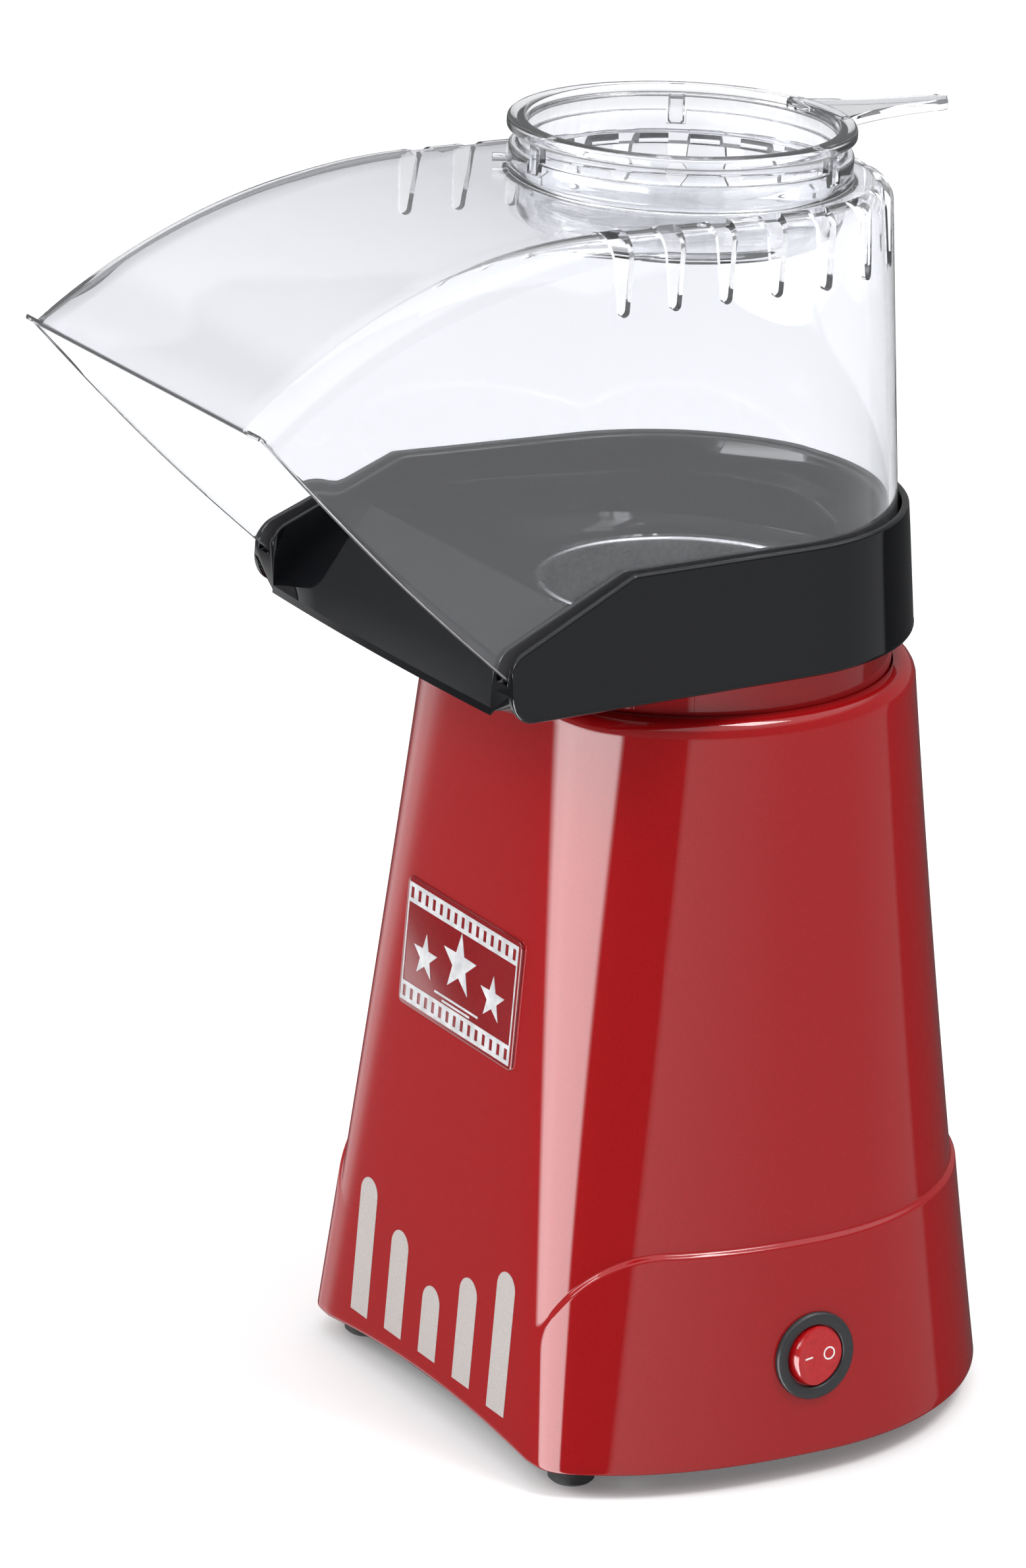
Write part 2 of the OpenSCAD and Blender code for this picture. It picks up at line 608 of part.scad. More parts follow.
module switch_rocker() color([0.85, 0.05, 0.08]) placed() switch_frame()
    translate([pivot_x, 0, 0]) rotate(rocker_tilt) union() {
        intersection() {
            rotate(rocker_tilt) out_of_wall(20, rocker_r, -6);
            rotate(-rocker_tilt) out_of_wall(20, rocker_r, -6);
            cylinder(h = 30, r = rocker_r - 0.05, center = true);
            translate([0, 0, -15]) linear_extrude(30) polygon([[-5, -3], [1, -9], [4.4, -9],
                [3, 0], [4.4, 9], [1, 9], [-5, 3]]);
        }
        cylinder(h = 2 * pin_reach, r = pin_r, center = true);
    }
terminal_l = 7;
terminal_w = 4.8;
terminal_t = 0.8;
terminal_pitch = 5;
module switch_terminals() color([0.8, 0.7, 0.4]) placed() switch_frame() for (i = [-1 : 1])
    translate([-switch_len - terminal_l, i * terminal_pitch - terminal_t / 2, -terminal_w / 2])
        cube([terminal_l, terminal_t, terminal_w]);

// ---------- popping chamber and its air jacket
louvres = 14;
louvre_w = 2.4;
louvre_h = 11;
floor_w = 12;
floor_crown = 3;
module popping_chamber() color([0.8, 0.8, 0.82]) placed() chamber_axis() difference() {
    rotate_extrude() polygon([[0, chamber_z + floor_crown], [chamber_r - floor_w, chamber_z],
        [chamber_r, chamber_z], [chamber_r + chamber_t, chamber_z],
        [chamber_r + chamber_t, chamber_top - chamber_t],
        [jacket_out, chamber_top - chamber_t], [jacket_out, chamber_top], [chamber_r, chamber_top],
        [chamber_r, chamber_z + chamber_t], [chamber_r - floor_w, chamber_z + chamber_t],
        [0, chamber_z + floor_crown + chamber_t]]);
    for (i = [0 : louvres - 1]) rotate((i + 0.5) * 360 / louvres)
        translate([chamber_r - 3, -louvre_w / 2, chamber_z + 3]) cube([8, louvre_w, louvre_h]);
}
module chamber_gasket() color([0.75, 0.2, 0.12]) placed() chamber_axis()
    translate([0, 0, chamber_top]) difference() {
        cylinder(h = gasket_t, r = jacket_out - 1);
        translate([0, 0, -cut]) cylinder(h = 5, r = chamber_r + 1);
    }

ear_ring = fan_house_r + 2.5;
ear_r = 4;
ear_h = 8;
module ears(z, h) { round_holes(3, ear_ring, ear_r, z, h, 30); }
module air_jacket() color([0.35, 0.33, 0.3]) placed() chamber_axis() difference() {
    union() {
        translate([0, 0, jacket_z]) cylinder(h = chamber_top - chamber_t - jacket_z, r = jacket_out);
        translate([0, 0, jacket_z]) cylinder(h = floor_t, r = fan_house_r);
        ears(jacket_z, floor_t);
    }
    translate([0, 0, jacket_z - cut]) cylinder(h = 200, r = jacket_r);
    round_holes(3, ear_ring, screw_r, jacket_z - cut, 10, 30);
}
module jacket_screws() color([0.7, 0.7, 0.72]) placed() chamber_axis()
    for (i = [0 : 2]) rotate(30 + i * 120) translate([ear_ring, 0, jacket_z + floor_t])
        mirror([0, 0, 1]) screw(0, floor_t + 5);

// ---------- heater
board_t = 0.8;
wire_r = 0.7;
coil_gap = 6;
coil_r = jacket_r - coil_gap;
coil_turns = 6;
coil_pitch = 3.6;
coil_z = jacket_z + 6;
ring_steps = 24;
module heater_frame() color([0.78, 0.68, 0.5]) placed() chamber_axis() difference() {
    for (a = [0, 90]) rotate(a) translate([-jacket_r + loose, -board_t / 2, jacket_z + 1])
        cube([2 * (jacket_r - loose), board_t, coil_turns * coil_pitch + 8]);
    for (k = [0 : coil_turns - 1], q = [0 : 3]) rotate(q * 90)
        translate([coil_r - 1.5, -2, coil_z + coil_pitch * (k + q / 4) - 1.2]) cube([3, 4, 2.4]);
}
function coil_pt(i, a) = let (t = i * 360 / ring_steps, r = coil_r + wire_r * cos(a))
    [r * cos(t), r * sin(t), coil_z + coil_pitch * i / ring_steps + wire_r * sin(a)];
module heater_coil() color([0.6, 0.5, 0.45]) placed() chamber_axis() {
    n = coil_turns * ring_steps - 6;
    polyhedron([for (i = [0 : n]) for (k = [0 : 5]) coil_pt(i, k * 60)],
        concat([[for (k = [0 : 5]) k]], [[for (k = [5 : -1 : 0]) n * 6 + k]],
            [for (i = [0 : n - 1], k = [0 : 5]) let (h = (k + 1) % 6)
                each [[i * 6 + k, i * 6 + 6 + k, i * 6 + 6 + h], [i * 6 + k, i * 6 + 6 + h, i * 6 + h]]]));
}
sensor_z = chamber_z + 22;
fuse_r = 1.8;
module thermostat() color([0.85, 0.83, 0.78]) placed() chamber_axis() difference() {
    translate([jacket_out - jacket_wall, 0, sensor_z]) rotate([0, 90, 0]) {
        cylinder(h = 5, r = 6);
        cylinder(h = 9, r = 4.5);
    }
    translate([0, 0, chamber_z]) cylinder(h = chamber_h, r = jacket_out);
}
module thermal_fuse() color([0.75, 0.75, 0.7]) placed() chamber_axis()
    translate([-jacket_out - fuse_r, 0, sensor_z]) rotate([90, 0, 0]) {
        cylinder(h = 12, r = fuse_r, center = true);
        cylinder(h = 26, r = 0.5, center = true);
    }

// ---------- fan and motor
blade_gap = 2.5;
blade_z = fan_house_z + floor_t + blade_gap;
hub_r = 5;
disc_t = 1.5;
blade_l = 22;
blade_t = 1.2;
blade_sweep = 25;
module fan_housing() color([0.2, 0.2, 0.21]) placed() chamber_axis() difference() {
    union() {
        translate([0, 0, fan_house_z]) cylinder(h = fan_house_h, r = fan_house_r);
        ears(jacket_z - ear_h, ear_h);
    }
    translate([0, 0, fan_house_z + floor_t]) cylinder(h = fan_house_h, r = fan_house_r - jacket_wall);
    translate([0, 0, fan_house_z - cut]) cylinder(h = 10, r = intake_r);
    round_holes(3, ear_ring, screw_r, jacket_z - 7, 10, 30);
    round_holes(3, post_ring, screw_r, fan_house_z - cut, 10, 90);
    round_holes(3, mount_ring, screw_r, fan_house_z - cut, 10, 30);
}
module fan_impeller() color([0.85, 0.85, 0.82]) placed() chamber_axis() translate([0, 0, blade_z])
    difference() {
        union() {
            cylinder(h = disc_t, r = fan_r);
            cylinder(h = blade_h - 2, r = hub_r);
            for (i = [0 : blades - 1]) rotate(i * 360 / blades) translate([fan_r - 24, 0, 0])
                rotate(blade_sweep) translate([0, -blade_t / 2, 0]) cube([blade_l, blade_t, blade_h]);
        }
        translate([0, 0, -cut]) cylinder(h = 40, r = shaft_r);
    }
mount_ring = (intake_r + fan_house_r) / 2;
bearing_r = 4;
module motor_mount() color([0.6, 0.6, 0.62]) placed() chamber_axis()
    translate([0, 0, mount_z]) linear_extrude(mount_t) difference() {
        union() {
            circle(motor_r);
            for (i = [0 : 2]) rotate(30 + i * 120) translate([bearing_r + 4, -5])
                square([mount_ring - bearing_r, 10]);
        }
        circle(bearing_r);
        for (i = [0 : 2]) rotate(30 + i * 120) translate([mount_ring, 0]) circle(screw_r);
    }
module mount_screws() color([0.7, 0.7, 0.72]) placed() chamber_axis()
    for (i = [0 : 2]) rotate(30 + i * 120) translate([mount_ring, 0, 0]) screw(mount_z, mount_t + floor_t);
can_wall = 1.2;
module motor_can() color([0.65, 0.66, 0.68]) placed() chamber_axis() translate([0, 0, motor_z])
    difference() {
        cylinder(h = motor_h, r = motor_r);
        translate([0, 0, -cut]) cylinder(h = motor_h - 0.2, r = motor_r - can_wall);
        cylinder(h = 100, r = bearing_r);
    }
bell_t = 3;
brush_h = 4;
module motor_end_bell() color([0.12, 0.12, 0.12]) placed() chamber_axis() difference() {
    union() {
        translate([0, 0, motor_z - bell_t]) cylinder(h = bell_t, r = motor_r);
        translate([0, 0, motor_z]) cylinder(h = 3, r = motor_r - can_wall);
        for (s = [-1, 1]) translate([s * 10, 0, motor_z - bell_t - brush_h]) cylinder(h = brush_h, r = 2);
    }
    translate([0, 0, motor_z - bell_t + 1]) cylinder(h = 10, r = bearing_r);
}
module motor_bearings() color([0.75, 0.6, 0.3]) placed() chamber_axis()
    for (z = [motor_z - bell_t + 1, mount_z - 1.2]) translate([0, 0, z]) difference() {
        cylinder(h = 3.6, r = bearing_r);
        translate([0, 0, -cut]) cylinder(h = 10, r = shaft_r + fit);
    }
module motor_shaft() color([0.8, 0.8, 0.82]) placed() chamber_axis()
    translate([0, 0, motor_z - bell_t + 1.2]) cylinder(h = blade_z + blade_h - 1 - motor_z, r = shaft_r);
pcb_t = 1.6;
pcb_z = motor_z - bell_t - brush_h - pcb_t;
diode_r = 1.3;
module rectifier_board() color([0.1, 0.35, 0.15]) placed() chamber_axis()
    translate([0, 0, pcb_z]) cylinder(h = pcb_t, r = motor_r - 1);
module rectifier_diodes() color([0.08, 0.08, 0.08]) placed() chamber_axis()
    for (x = [-6 : 4 : 6]) translate([x, 0, pcb_z - diode_r]) rotate([90, 0, 0])
        cylinder(h = 5, r = diode_r, center = true);

// ---------- power inlet
module cord_gland() color([0.08, 0.08, 0.08]) placed() gland_frame() difference() {
    union() {
        translate([0, 0, flange_out - gland_l]) cylinder(h = gland_l, r = gland_r);
        translate([0, 0, flange_out - flange_t]) cylinder(h = flange_t, r = flange_r);
    }
    cylinder(h = 4 * gland_l, r = cord_r, center = true);
}
clamp_w = 14;
clamp_t = 7;
clamp_in = 30;
module cord_clamp() color([0.15, 0.15, 0.15]) placed() difference() {
    translate([-clamp_w / 2, gland_y - clamp_in, plate_top])
        cube([clamp_w, clamp_t, gland_z + cord_r + 3 - plate_top]);
    translate([0, gland_y, gland_z]) rotate([90, 0, 0]) cylinder(h = 40, r = cord_r);
}

body_shell();
neck_ring();
base_plate();
rubber_feet();
base_screws();
post_screws();
chute_tray();
tray_screws();
clear_hood();
measuring_cup();
badge_plate();
front_stripes();
switch_bezel();
switch_body();
switch_rocker();
switch_terminals();
popping_chamber();
chamber_gasket();
air_jacket();
jacket_screws();
heater_frame();
heater_coil();
thermostat();
thermal_fuse();
fan_housing();
fan_impeller();
motor_can();
motor_end_bell();
motor_bearings();
motor_shaft();
motor_mount();
mount_screws();
rectifier_board();
rectifier_diodes();
cord_gland();
cord_clamp();
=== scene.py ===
import json
import math

import bmesh
import bpy
from mathutils import Matrix, Vector

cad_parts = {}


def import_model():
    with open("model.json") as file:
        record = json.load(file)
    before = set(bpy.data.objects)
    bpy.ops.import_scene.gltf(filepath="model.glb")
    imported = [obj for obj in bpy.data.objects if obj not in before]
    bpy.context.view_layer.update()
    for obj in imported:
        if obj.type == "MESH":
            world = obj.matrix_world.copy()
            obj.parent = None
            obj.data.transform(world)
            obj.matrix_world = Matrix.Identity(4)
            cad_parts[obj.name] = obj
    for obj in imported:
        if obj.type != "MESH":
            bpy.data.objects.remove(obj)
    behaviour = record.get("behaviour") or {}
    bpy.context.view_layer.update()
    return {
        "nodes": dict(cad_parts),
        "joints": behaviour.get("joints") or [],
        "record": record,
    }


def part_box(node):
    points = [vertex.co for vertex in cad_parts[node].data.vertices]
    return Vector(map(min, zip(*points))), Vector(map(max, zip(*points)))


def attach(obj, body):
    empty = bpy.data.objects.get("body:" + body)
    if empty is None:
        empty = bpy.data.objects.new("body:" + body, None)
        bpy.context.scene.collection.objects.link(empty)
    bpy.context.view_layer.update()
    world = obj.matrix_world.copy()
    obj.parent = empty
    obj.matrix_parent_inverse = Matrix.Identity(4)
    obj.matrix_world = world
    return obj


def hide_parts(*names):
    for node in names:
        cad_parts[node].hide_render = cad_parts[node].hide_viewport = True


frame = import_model()

# Looks of a hot-air popcorn maker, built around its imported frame. Sizes are in millimetres
# unless a name says otherwise, y is counted from the cup's axis, and -y is the front.
MM = 0.001


def box_mm(node):
    """Lowest and highest corner of a CAD node in millimetres, y in the row frame."""
    low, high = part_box(node)
    return low / MM, high / MM


cup_low, cup_high = box_mm("measuring_cup")
tray_low, tray_high = box_mm("chute_tray")
body_low, body_high = box_mm("body_shell")
hood_low, hood_high = box_mm("clear_hood")
chamber_low, chamber_high = box_mm("popping_chamber")
RIM_R = cup_high.x
AXIS_Y = cup_low.y + RIM_R
EDGE_Z = body_low.z
SHOULDER_Z = body_high.z
TRAY_Z = tray_low.z
LIP_Z = tray_high.z
COLLAR_Z = hood_high.z
RIM_Z = cup_high.z
TRAY_REACH = AXIS_Y - tray_low.y
HOOD_REACH = AXIS_Y - hood_low.y
HANDLE_REACH = cup_high.y - AXIS_Y
CHAMBER_Y = (chamber_low.y + chamber_high.y) / 2 - AXIS_Y


def world(x, y, z):
    """A point given from the cup's axis, in metres in the row frame."""
    return Vector((x, y + AXIS_Y, z)) * MM


def mix(a, b, t):
    """The value a share t of the way from a to b."""
    return a + (b - a) * t


def clamp(value, low=0.0, high=1.0):
    return max(low, min(high, value))


def steps(count):
    """Shares from 0 to 1 in equal steps, both ends included."""
    return [i / count for i in range(count + 1)]


def eased(t):
    """A share from 0 to 1 with soft ends."""
    t = clamp(t)
    return t * t * (3 - 2 * t)


# ---- mesh helpers
MERGE = 2e-6
# Radius in mm at which a turned profile stops short of its axis
AXIS_HOLE = 0.01


def finish_mesh(bm, name, body, slot, replaces=(), material=None, crease=40):
    """Turns a bmesh in row-frame metres into a smooth piece in its slot's or a given finish."""
    bmesh.ops.remove_doubles(bm, verts=bm.verts, dist=MERGE)
    bmesh.ops.dissolve_degenerate(bm, edges=bm.edges, dist=MERGE / 2)
    bmesh.ops.recalc_face_normals(bm, faces=bm.faces)
    for face in bm.faces:
        face.smooth = True
    mesh = bpy.data.meshes.new(name)
    bm.to_mesh(mesh)
    bm.free()
    mesh.set_sharp_from_angle(angle=math.radians(crease))
    mesh.materials.append(material or FINISHES[slot])
    piece = bpy.data.objects.new(name, mesh)
    bpy.context.scene.collection.objects.link(piece)
    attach(piece, body)
    if replaces:
        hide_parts(*replaces)
    return piece


def add_grid(bm, rows, around=True, along=False, place=world):
    """Adds rows of points of equal length as a sheet of quads, closed where asked."""
    grid = [[bm.verts.new(place(*p)) for p in row] for row in rows]
    wide, high = len(rows[0]), len(rows)
    for j in range(high if along else high - 1):
        for i in range(wide if around else wide - 1):
            near, far = grid[j], grid[(j + 1) % high]
            k = (i + 1) % wide
            bm.faces.new((near[i], near[k], far[k], far[i]))
    return grid


def add_capped(bm, rows, place=world):
    """Adds stacked outlines as a closed solid."""
    grid = add_grid(bm, rows, place=place)
    bm.faces.new(grid[-1])
    bm.faces.new(list(reversed(grid[0])))


def add_turned(bm, profile, count=128, centre=(0, 0), closed=True, place=world):
    """Adds a profile of (radius, z) points turned about an upright axis."""
    turns = [2 * math.pi * i / count for i in range(count)]
    rows = [[(centre[0] + r * math.cos(a), centre[1] + r * math.sin(a), z) for a in turns]
            for r, z in profile]
    return add_grid(bm, rows, along=closed, place=place)


def arc(cx, cz, r, start, end, count=5, squash=1.0):
    """Points of an arc from one angle in degrees to another."""
    return [(cx + r * math.cos(math.radians(mix(start, end, t))),
             cz + r * squash * math.sin(math.radians(mix(start, end, t)))) for t in steps(count)]


# ---- materials
def new_material(name):
    material = bpy.data.materials.new(name)
    material.use_nodes = True
    nodes = material.node_tree.nodes
    return material, nodes, material.node_tree.links, nodes["Principled BSDF"]


def noise(nodes, links, scale, detail=3.0, rough=0.5):
    """A noise texture in object space; scale is in features per metre."""
    where = nodes.new("ShaderNodeTexCoord")
    texture = nodes.new("ShaderNodeTexNoise")
    texture.inputs["Scale"].default_value = scale
    texture.inputs["Detail"].default_value = detail
    texture.inputs["Roughness"].default_value = rough
    links.new(where.outputs["Object"], texture.inputs["Vector"])
    return texture


def vary_colour(nodes, links, shader, texture, low, high, start=0.35, end=0.65):
    """Lets the base colour run between two colours with a texture."""
    ramp = nodes.new("ShaderNodeValToRGB")
    ramp.color_ramp.elements[0].position = start
    ramp.color_ramp.elements[1].position = end
    ramp.color_ramp.elements[0].color = (*low, 1)
    ramp.color_ramp.elements[1].color = (*high, 1)
    links.new(texture.outputs["Fac"], ramp.inputs["Fac"])
    links.new(ramp.outputs["Color"], shader.inputs["Base Color"])


def vary_roughness(nodes, links, shader, texture, low, high):
    span = nodes.new("ShaderNodeMapRange")
    span.inputs["From Min"].default_value = 0.3
    span.inputs["From Max"].default_value = 0.7
    span.inputs["To Min"].default_value = low
    span.inputs["To Max"].default_value = high
    links.new(texture.outputs["Fac"], span.inputs["Value"])
    links.new(span.outputs["Result"], shader.inputs["Roughness"])


def add_bump(nodes, links, shader, texture, depth_mm, strength=1.0):
    bump = nodes.new("ShaderNodeBump")
    bump.inputs["Distance"].default_value = depth_mm * MM
    bump.inputs["Strength"].default_value = strength
    links.new(texture.outputs["Fac"], bump.inputs["Height"])
    links.new(bump.outputs["Normal"], shader.inputs["Normal"])


def surface(name, low, high, rough, grain, bump=0.0, metallic=0.0, coat=0.0, specular=0.5):
    """A procedural finish: colour and roughness vary with a grain of so many features a metre."""
    material, nodes, links, shader = new_material(name)
    texture = noise(nodes, links, grain)
    vary_colour(nodes, links, shader, texture, low, high)
    vary_roughness(nodes, links, shader, noise(nodes, links, grain / 9), *rough)
    shader.inputs["Metallic"].default_value = metallic
    shader.inputs["Specular IOR Level"].default_value = specular
    shader.inputs["Coat Weight"].default_value = coat
    shader.inputs["Coat Roughness"].default_value = 0.03
    if bump:
        add_bump(nodes, links, shader, texture, bump)
    return material


def red_gloss():
    """Red lacquer: fine metallic flakes under a clear coat."""
    return surface("red_lacquer", (0.30, 0.0025, 0.004), (0.36, 0.004, 0.006), (0.42, 0.48),
                   grain=2600, metallic=0.05, coat=1.0, specular=0.05)


def black_gloss():
    return surface("black_gloss", (0.0022, 0.0024, 0.0034), (0.0034, 0.0037, 0.0050), (0.03, 0.06),
                   grain=900, bump=0.001)


def black_matte():
    return surface("black_satin", (0.022, 0.023, 0.025), (0.032, 0.033, 0.036), (0.38, 0.48),
                   grain=3000, bump=0.012)


def grey_plastic():
    return surface("grey_moulding", (0.055, 0.056, 0.060), (0.080, 0.081, 0.085), (0.45, 0.58),
                   grain=2400, bump=0.015)


def ivory_plastic():
    return surface("ivory_nylon", (0.66, 0.63, 0.54), (0.74, 0.71, 0.62), (0.35, 0.48),
                   grain=900, bump=0.006)


def rubber():
    return surface("black_rubber", (0.012, 0.012, 0.013), (0.022, 0.022, 0.023), (0.62, 0.78),
                   grain=2600, bump=0.02)


def aluminium():
    return surface("drawn_aluminium", (0.70, 0.70, 0.71), (0.82, 0.82, 0.83), (0.20, 0.34),
                   grain=700, bump=0.004, metallic=1.0)


def steel():
    return surface("zinc_steel", (0.50, 0.50, 0.50), (0.66, 0.66, 0.64), (0.24, 0.40),
                   grain=1500, bump=0.004, metallic=1.0)


def brass():
    return surface("bronze_brass", (0.52, 0.36, 0.14), (0.68, 0.50, 0.22), (0.28, 0.44),
                   grain=1800, bump=0.006, metallic=1.0)


def mica():
    return surface("mica_sheet", (0.42, 0.33, 0.20), (0.66, 0.56, 0.38), (0.32, 0.55),
                   grain=600, bump=0.02)


def resistance_wire():
    return surface("resistance_wire", (0.22, 0.17, 0.15), (0.38, 0.31, 0.28), (0.35, 0.5),
                   grain=900, bump=0.006, metallic=1.0)


def silicone():
    return surface("red_silicone", (0.36, 0.07, 0.04), (0.46, 0.10, 0.06), (0.5, 0.62),
                   grain=1800, bump=0.01)


def ceramic():
    return surface("glazed_ceramic", (0.66, 0.63, 0.56), (0.78, 0.76, 0.70), (0.22, 0.36),
                   grain=800, bump=0.01)


def board():
    return surface("circuit_board", (0.02, 0.13, 0.05), (0.03, 0.20, 0.08), (0.3, 0.45),
                   grain=1200, bump=0.008)


def stripe_paint():
    """Silver-beige print with a fine sparkle."""
    return surface("silver_print", (0.42, 0.38, 0.365), (0.52, 0.48, 0.46), (0.36, 0.44),
                   grain=3200, specular=0.4)


def badge_silver():
    return surface("badge_silver", (0.70, 0.70, 0.72), (0.92, 0.92, 0.94), (0.2, 0.3),
                   grain=260, metallic=0.35)


def badge_red():
    return surface("badge_red", (0.20, 0.002, 0.004), (0.24, 0.003, 0.006), (0.3, 0.4),
                   grain=1400, coat=1.0, specular=0.1)


def rocker_red():
    """Red translucent plastic of a switch rocker."""
    material, nodes, links, shader = new_material("rocker_red")
    texture = noise(nodes, links, 900)
    vary_colour(nodes, links, shader, texture, (0.42, 0.003, 0.006), (0.50, 0.006, 0.010))
    vary_roughness(nodes, links, shader, noise(nodes, links, 200), 0.12, 0.2)
    shader.inputs["Subsurface Weight"].default_value = 0.15
    shader.inputs["Subsurface Radius"].default_value = (2.5 * MM, 0.3 * MM, 0.2 * MM)
    shader.inputs["Coat Weight"].default_value = 0.6
    shader.inputs["Coat Roughness"].default_value = 0.06
    return material


def mark_white():
    return surface("mark_white", (0.82, 0.78, 0.78), (0.92, 0.88, 0.88), (0.3, 0.4), grain=2000)


def clear_plastic(name, tint, rough, clear):
    """Clear polycarbonate with a very slight waviness and haze."""
    material, nodes, links, shader = new_material(name)
    vary_roughness(nodes, links, shader, noise(nodes, links, 60), *rough)
    add_bump(nodes, links, shader, noise(nodes, links, 45, detail=1.0), 0.05)
    shader.inputs["Base Color"].default_value = (*tint, 1)
    shader.inputs["Transmission Weight"].default_value = clear
    shader.inputs["IOR"].default_value = 1.50
    return material


def floor_paint():
    floor = surface("floor", (0.85, 0.85, 0.85), (0.88, 0.88, 0.88), (0.6, 0.7), grain=3,
                    specular=0.2)
    shader = floor.node_tree.nodes["Principled BSDF"]
    shader.inputs["Emission Color"].default_value = (1, 1, 1, 1)
    shader.inputs["Emission Strength"].default_value = 0.12
    return floor


CLEAR_HOOD = clear_plastic("clear_hood_plastic", (0.945, 0.95, 0.975), (0.0, 0.02), 0.965)
CLEAR_CUP = clear_plastic("clear_cup_plastic", (0.955, 0.957, 0.975), (0.0, 0.02), 0.975)
FINISHES = {
    "red_gloss": red_gloss(), "black_gloss": black_gloss(), "clear_plastic": CLEAR_HOOD,
    "badge_metal": badge_red(), "stripe_print": stripe_paint(), "rocker_red": rocker_red(),
    "black_matte": black_matte(), "grey_plastic": grey_plastic(),
    "ivory_plastic": ivory_plastic(), "rubber": rubber(), "aluminium": aluminium(),
    "steel": steel(), "brass": brass(), "mica": mica(), "resistance_wire": resistance_wire(),
    "silicone_red": silicone(), "ceramic": ceramic(), "board_green": board(),
}


def finish_frame():
    """Gives every CAD node the finish of its material slot."""
    for row in frame["record"]["subparts"]:
        node = frame["nodes"][row["node"]]
        node.data.materials.clear()
        node.data.materials.append(FINISHES[row["material_slot"]])


# ---- body
BODY_H = SHOULDER_Z - EDGE_Z
BASE_HALF_W = 78.2
BASE_BACK = 81.9
BASE_FRONT = 95
BASE_SHIFT = 12
FRONT_Y = 61.2
FRONT_LEAN = math.radians(3.3)
WALL = 2.4
SKIRT_T = 1.3
SKIRT_H = 57.4
SKIRT_FALL = (26.2, 27.0)
SKIRT_READ_H = 8
SKIRT_STEP_W = 1.2
LIP_ROUND = 0.9
SHOULDER_ROUND = 5
NECK_STEP = 4.2
NECK_SET_BACK = 3.4
SHOULDER_CORNER = 16
BASE_CORNER = 43
ROUND_POWER = 2
FRONT_POWER = 2.5
BULGE = 0.15
FRONT_ARCH = 3.4
ARCH_HALF = 52
PLAN_Y = 4
TRAY_DRAFT = 0.09
HOOD_DRAFT = 0.07
CHUTE_R = 51
INNER_WALL = 1.6
CHANNEL_W = 3.9
OUTER_WALL = 2
LIP_OUT = CHUTE_R + INNER_WALL + CHANNEL_W + OUTER_WALL


def tray_r(z):
    """Outer radius of the tray's drafted wall at a height."""
    return LIP_OUT + (LIP_Z - z) * TRAY_DRAFT


NECK_R = tray_r(TRAY_Z) - NECK_STEP
NECK_Y = 2.8
SHOULDER_W = 6
SHOULDER_R = NECK_R + SHOULDER_W
NECK_FRONT = FRONT_Y - BODY_H * math.tan(FRONT_LEAN) - NECK_SET_BACK
NECK_GAP = 0.3


def spread(z):
    """How far the body has widened at a height: 0 at the shoulder, 1 at the lower edge."""
    down = (SHOULDER_Z - z) / BODY_H
    return (1 - BULGE) * down + BULGE * down * down


def front_at(z):
    """How far the flat front lies ahead of the cup's axis at a height."""
    return FRONT_Y - (z - EDGE_Z) * math.tan(FRONT_LEAN)


def centre_at(z):
    """y of the middle of the body's plan at a height."""
    return mix(NECK_Y, BASE_SHIFT, spread(z))


def blend(a, b, n):
    """The smaller of two lengths with a soft change from one to the other."""
    return (a ** -n + b ** -n) ** (-1 / n)


def cut_front(r, phi, gap, n):
    """Radius cut by a flat front that lies gap ahead, with a soft corner."""
    return blend(r, gap / -math.sin(phi), n) if math.sin(phi) < -0.1 else r


def body_radius(phi, z, grow=0.0, inset=0.0):
    """Distance of the body's surface from the middle of its plan."""
    s = spread(z)
    wide = mix(SHOULDER_R, BASE_HALF_W, s)
    long = mix(SHOULDER_R, BASE_BACK if math.sin(phi) > 0 else BASE_FRONT, s)
    power = ROUND_POWER if math.sin(phi) > 0 else mix(ROUND_POWER, FRONT_POWER, s)
    side = (abs(math.cos(phi) / wide) ** power + abs(math.sin(phi) / long) ** power)
    side = side ** (-1 / power) + grow
    corner = mix(SHOULDER_CORNER, BASE_CORNER, s)
    return cut_front(side, phi, centre_at(z) + front_at(z), corner) - inset


def body_point(phi, z, grow=0.0, inset=0.0):
    r = body_radius(phi, z, grow, inset)
    return (r * math.cos(phi), centre_at(z) + r * math.sin(phi), z)


def skirt_line(phi):
    """Height of the skirt's upper edge: level, then a quarter ellipse down to the corner."""
    low = EDGE_Z + SKIRT_H - SKIRT_FALL[1]
    y = body_point(phi, low + SKIRT_READ_H)[1]
    behind = clamp((SKIRT_FALL[0] - (y + front_at(low + SKIRT_READ_H))) / SKIRT_FALL[0])
    return low + SKIRT_FALL[1] * math.sqrt(1 - behind * behind)


def skirt_share(phi, z):
    """How much of the skirt stands out at a point of the body, from 0 to 1."""
    y = body_point(phi, z)[1]
    across = max(0.0, SKIRT_FALL[0] - (y + front_at(z))) / SKIRT_FALL[0]
    above = max(0.0, z - (EDGE_Z + SKIRT_H - SKIRT_FALL[1])) / SKIRT_FALL[1]
    inside = (1 - math.hypot(across, above)) * SKIRT_FALL[1]
    return eased(inside / SKIRT_STEP_W)


def edge_at(phi):
    """Height of the lower edge, which arches a little at the front."""
    x = body_point(phi, EDGE_Z)[0]
    return EDGE_Z + (FRONT_ARCH * max(0, 1 - (x / ARCH_HALF) ** 2) if math.sin(phi) < 0 else 0)


def body_angles():
    """Directions round the body, closer together at the two front corners."""
    coarse, fine = 1.25, 0.35
    angles, a = [], 0.0
    while a < 360:
        angles.append(math.radians(a))
        corner = 212 < a < 252 or 288 < a < 328
        a += fine if corner else coarse
    return angles


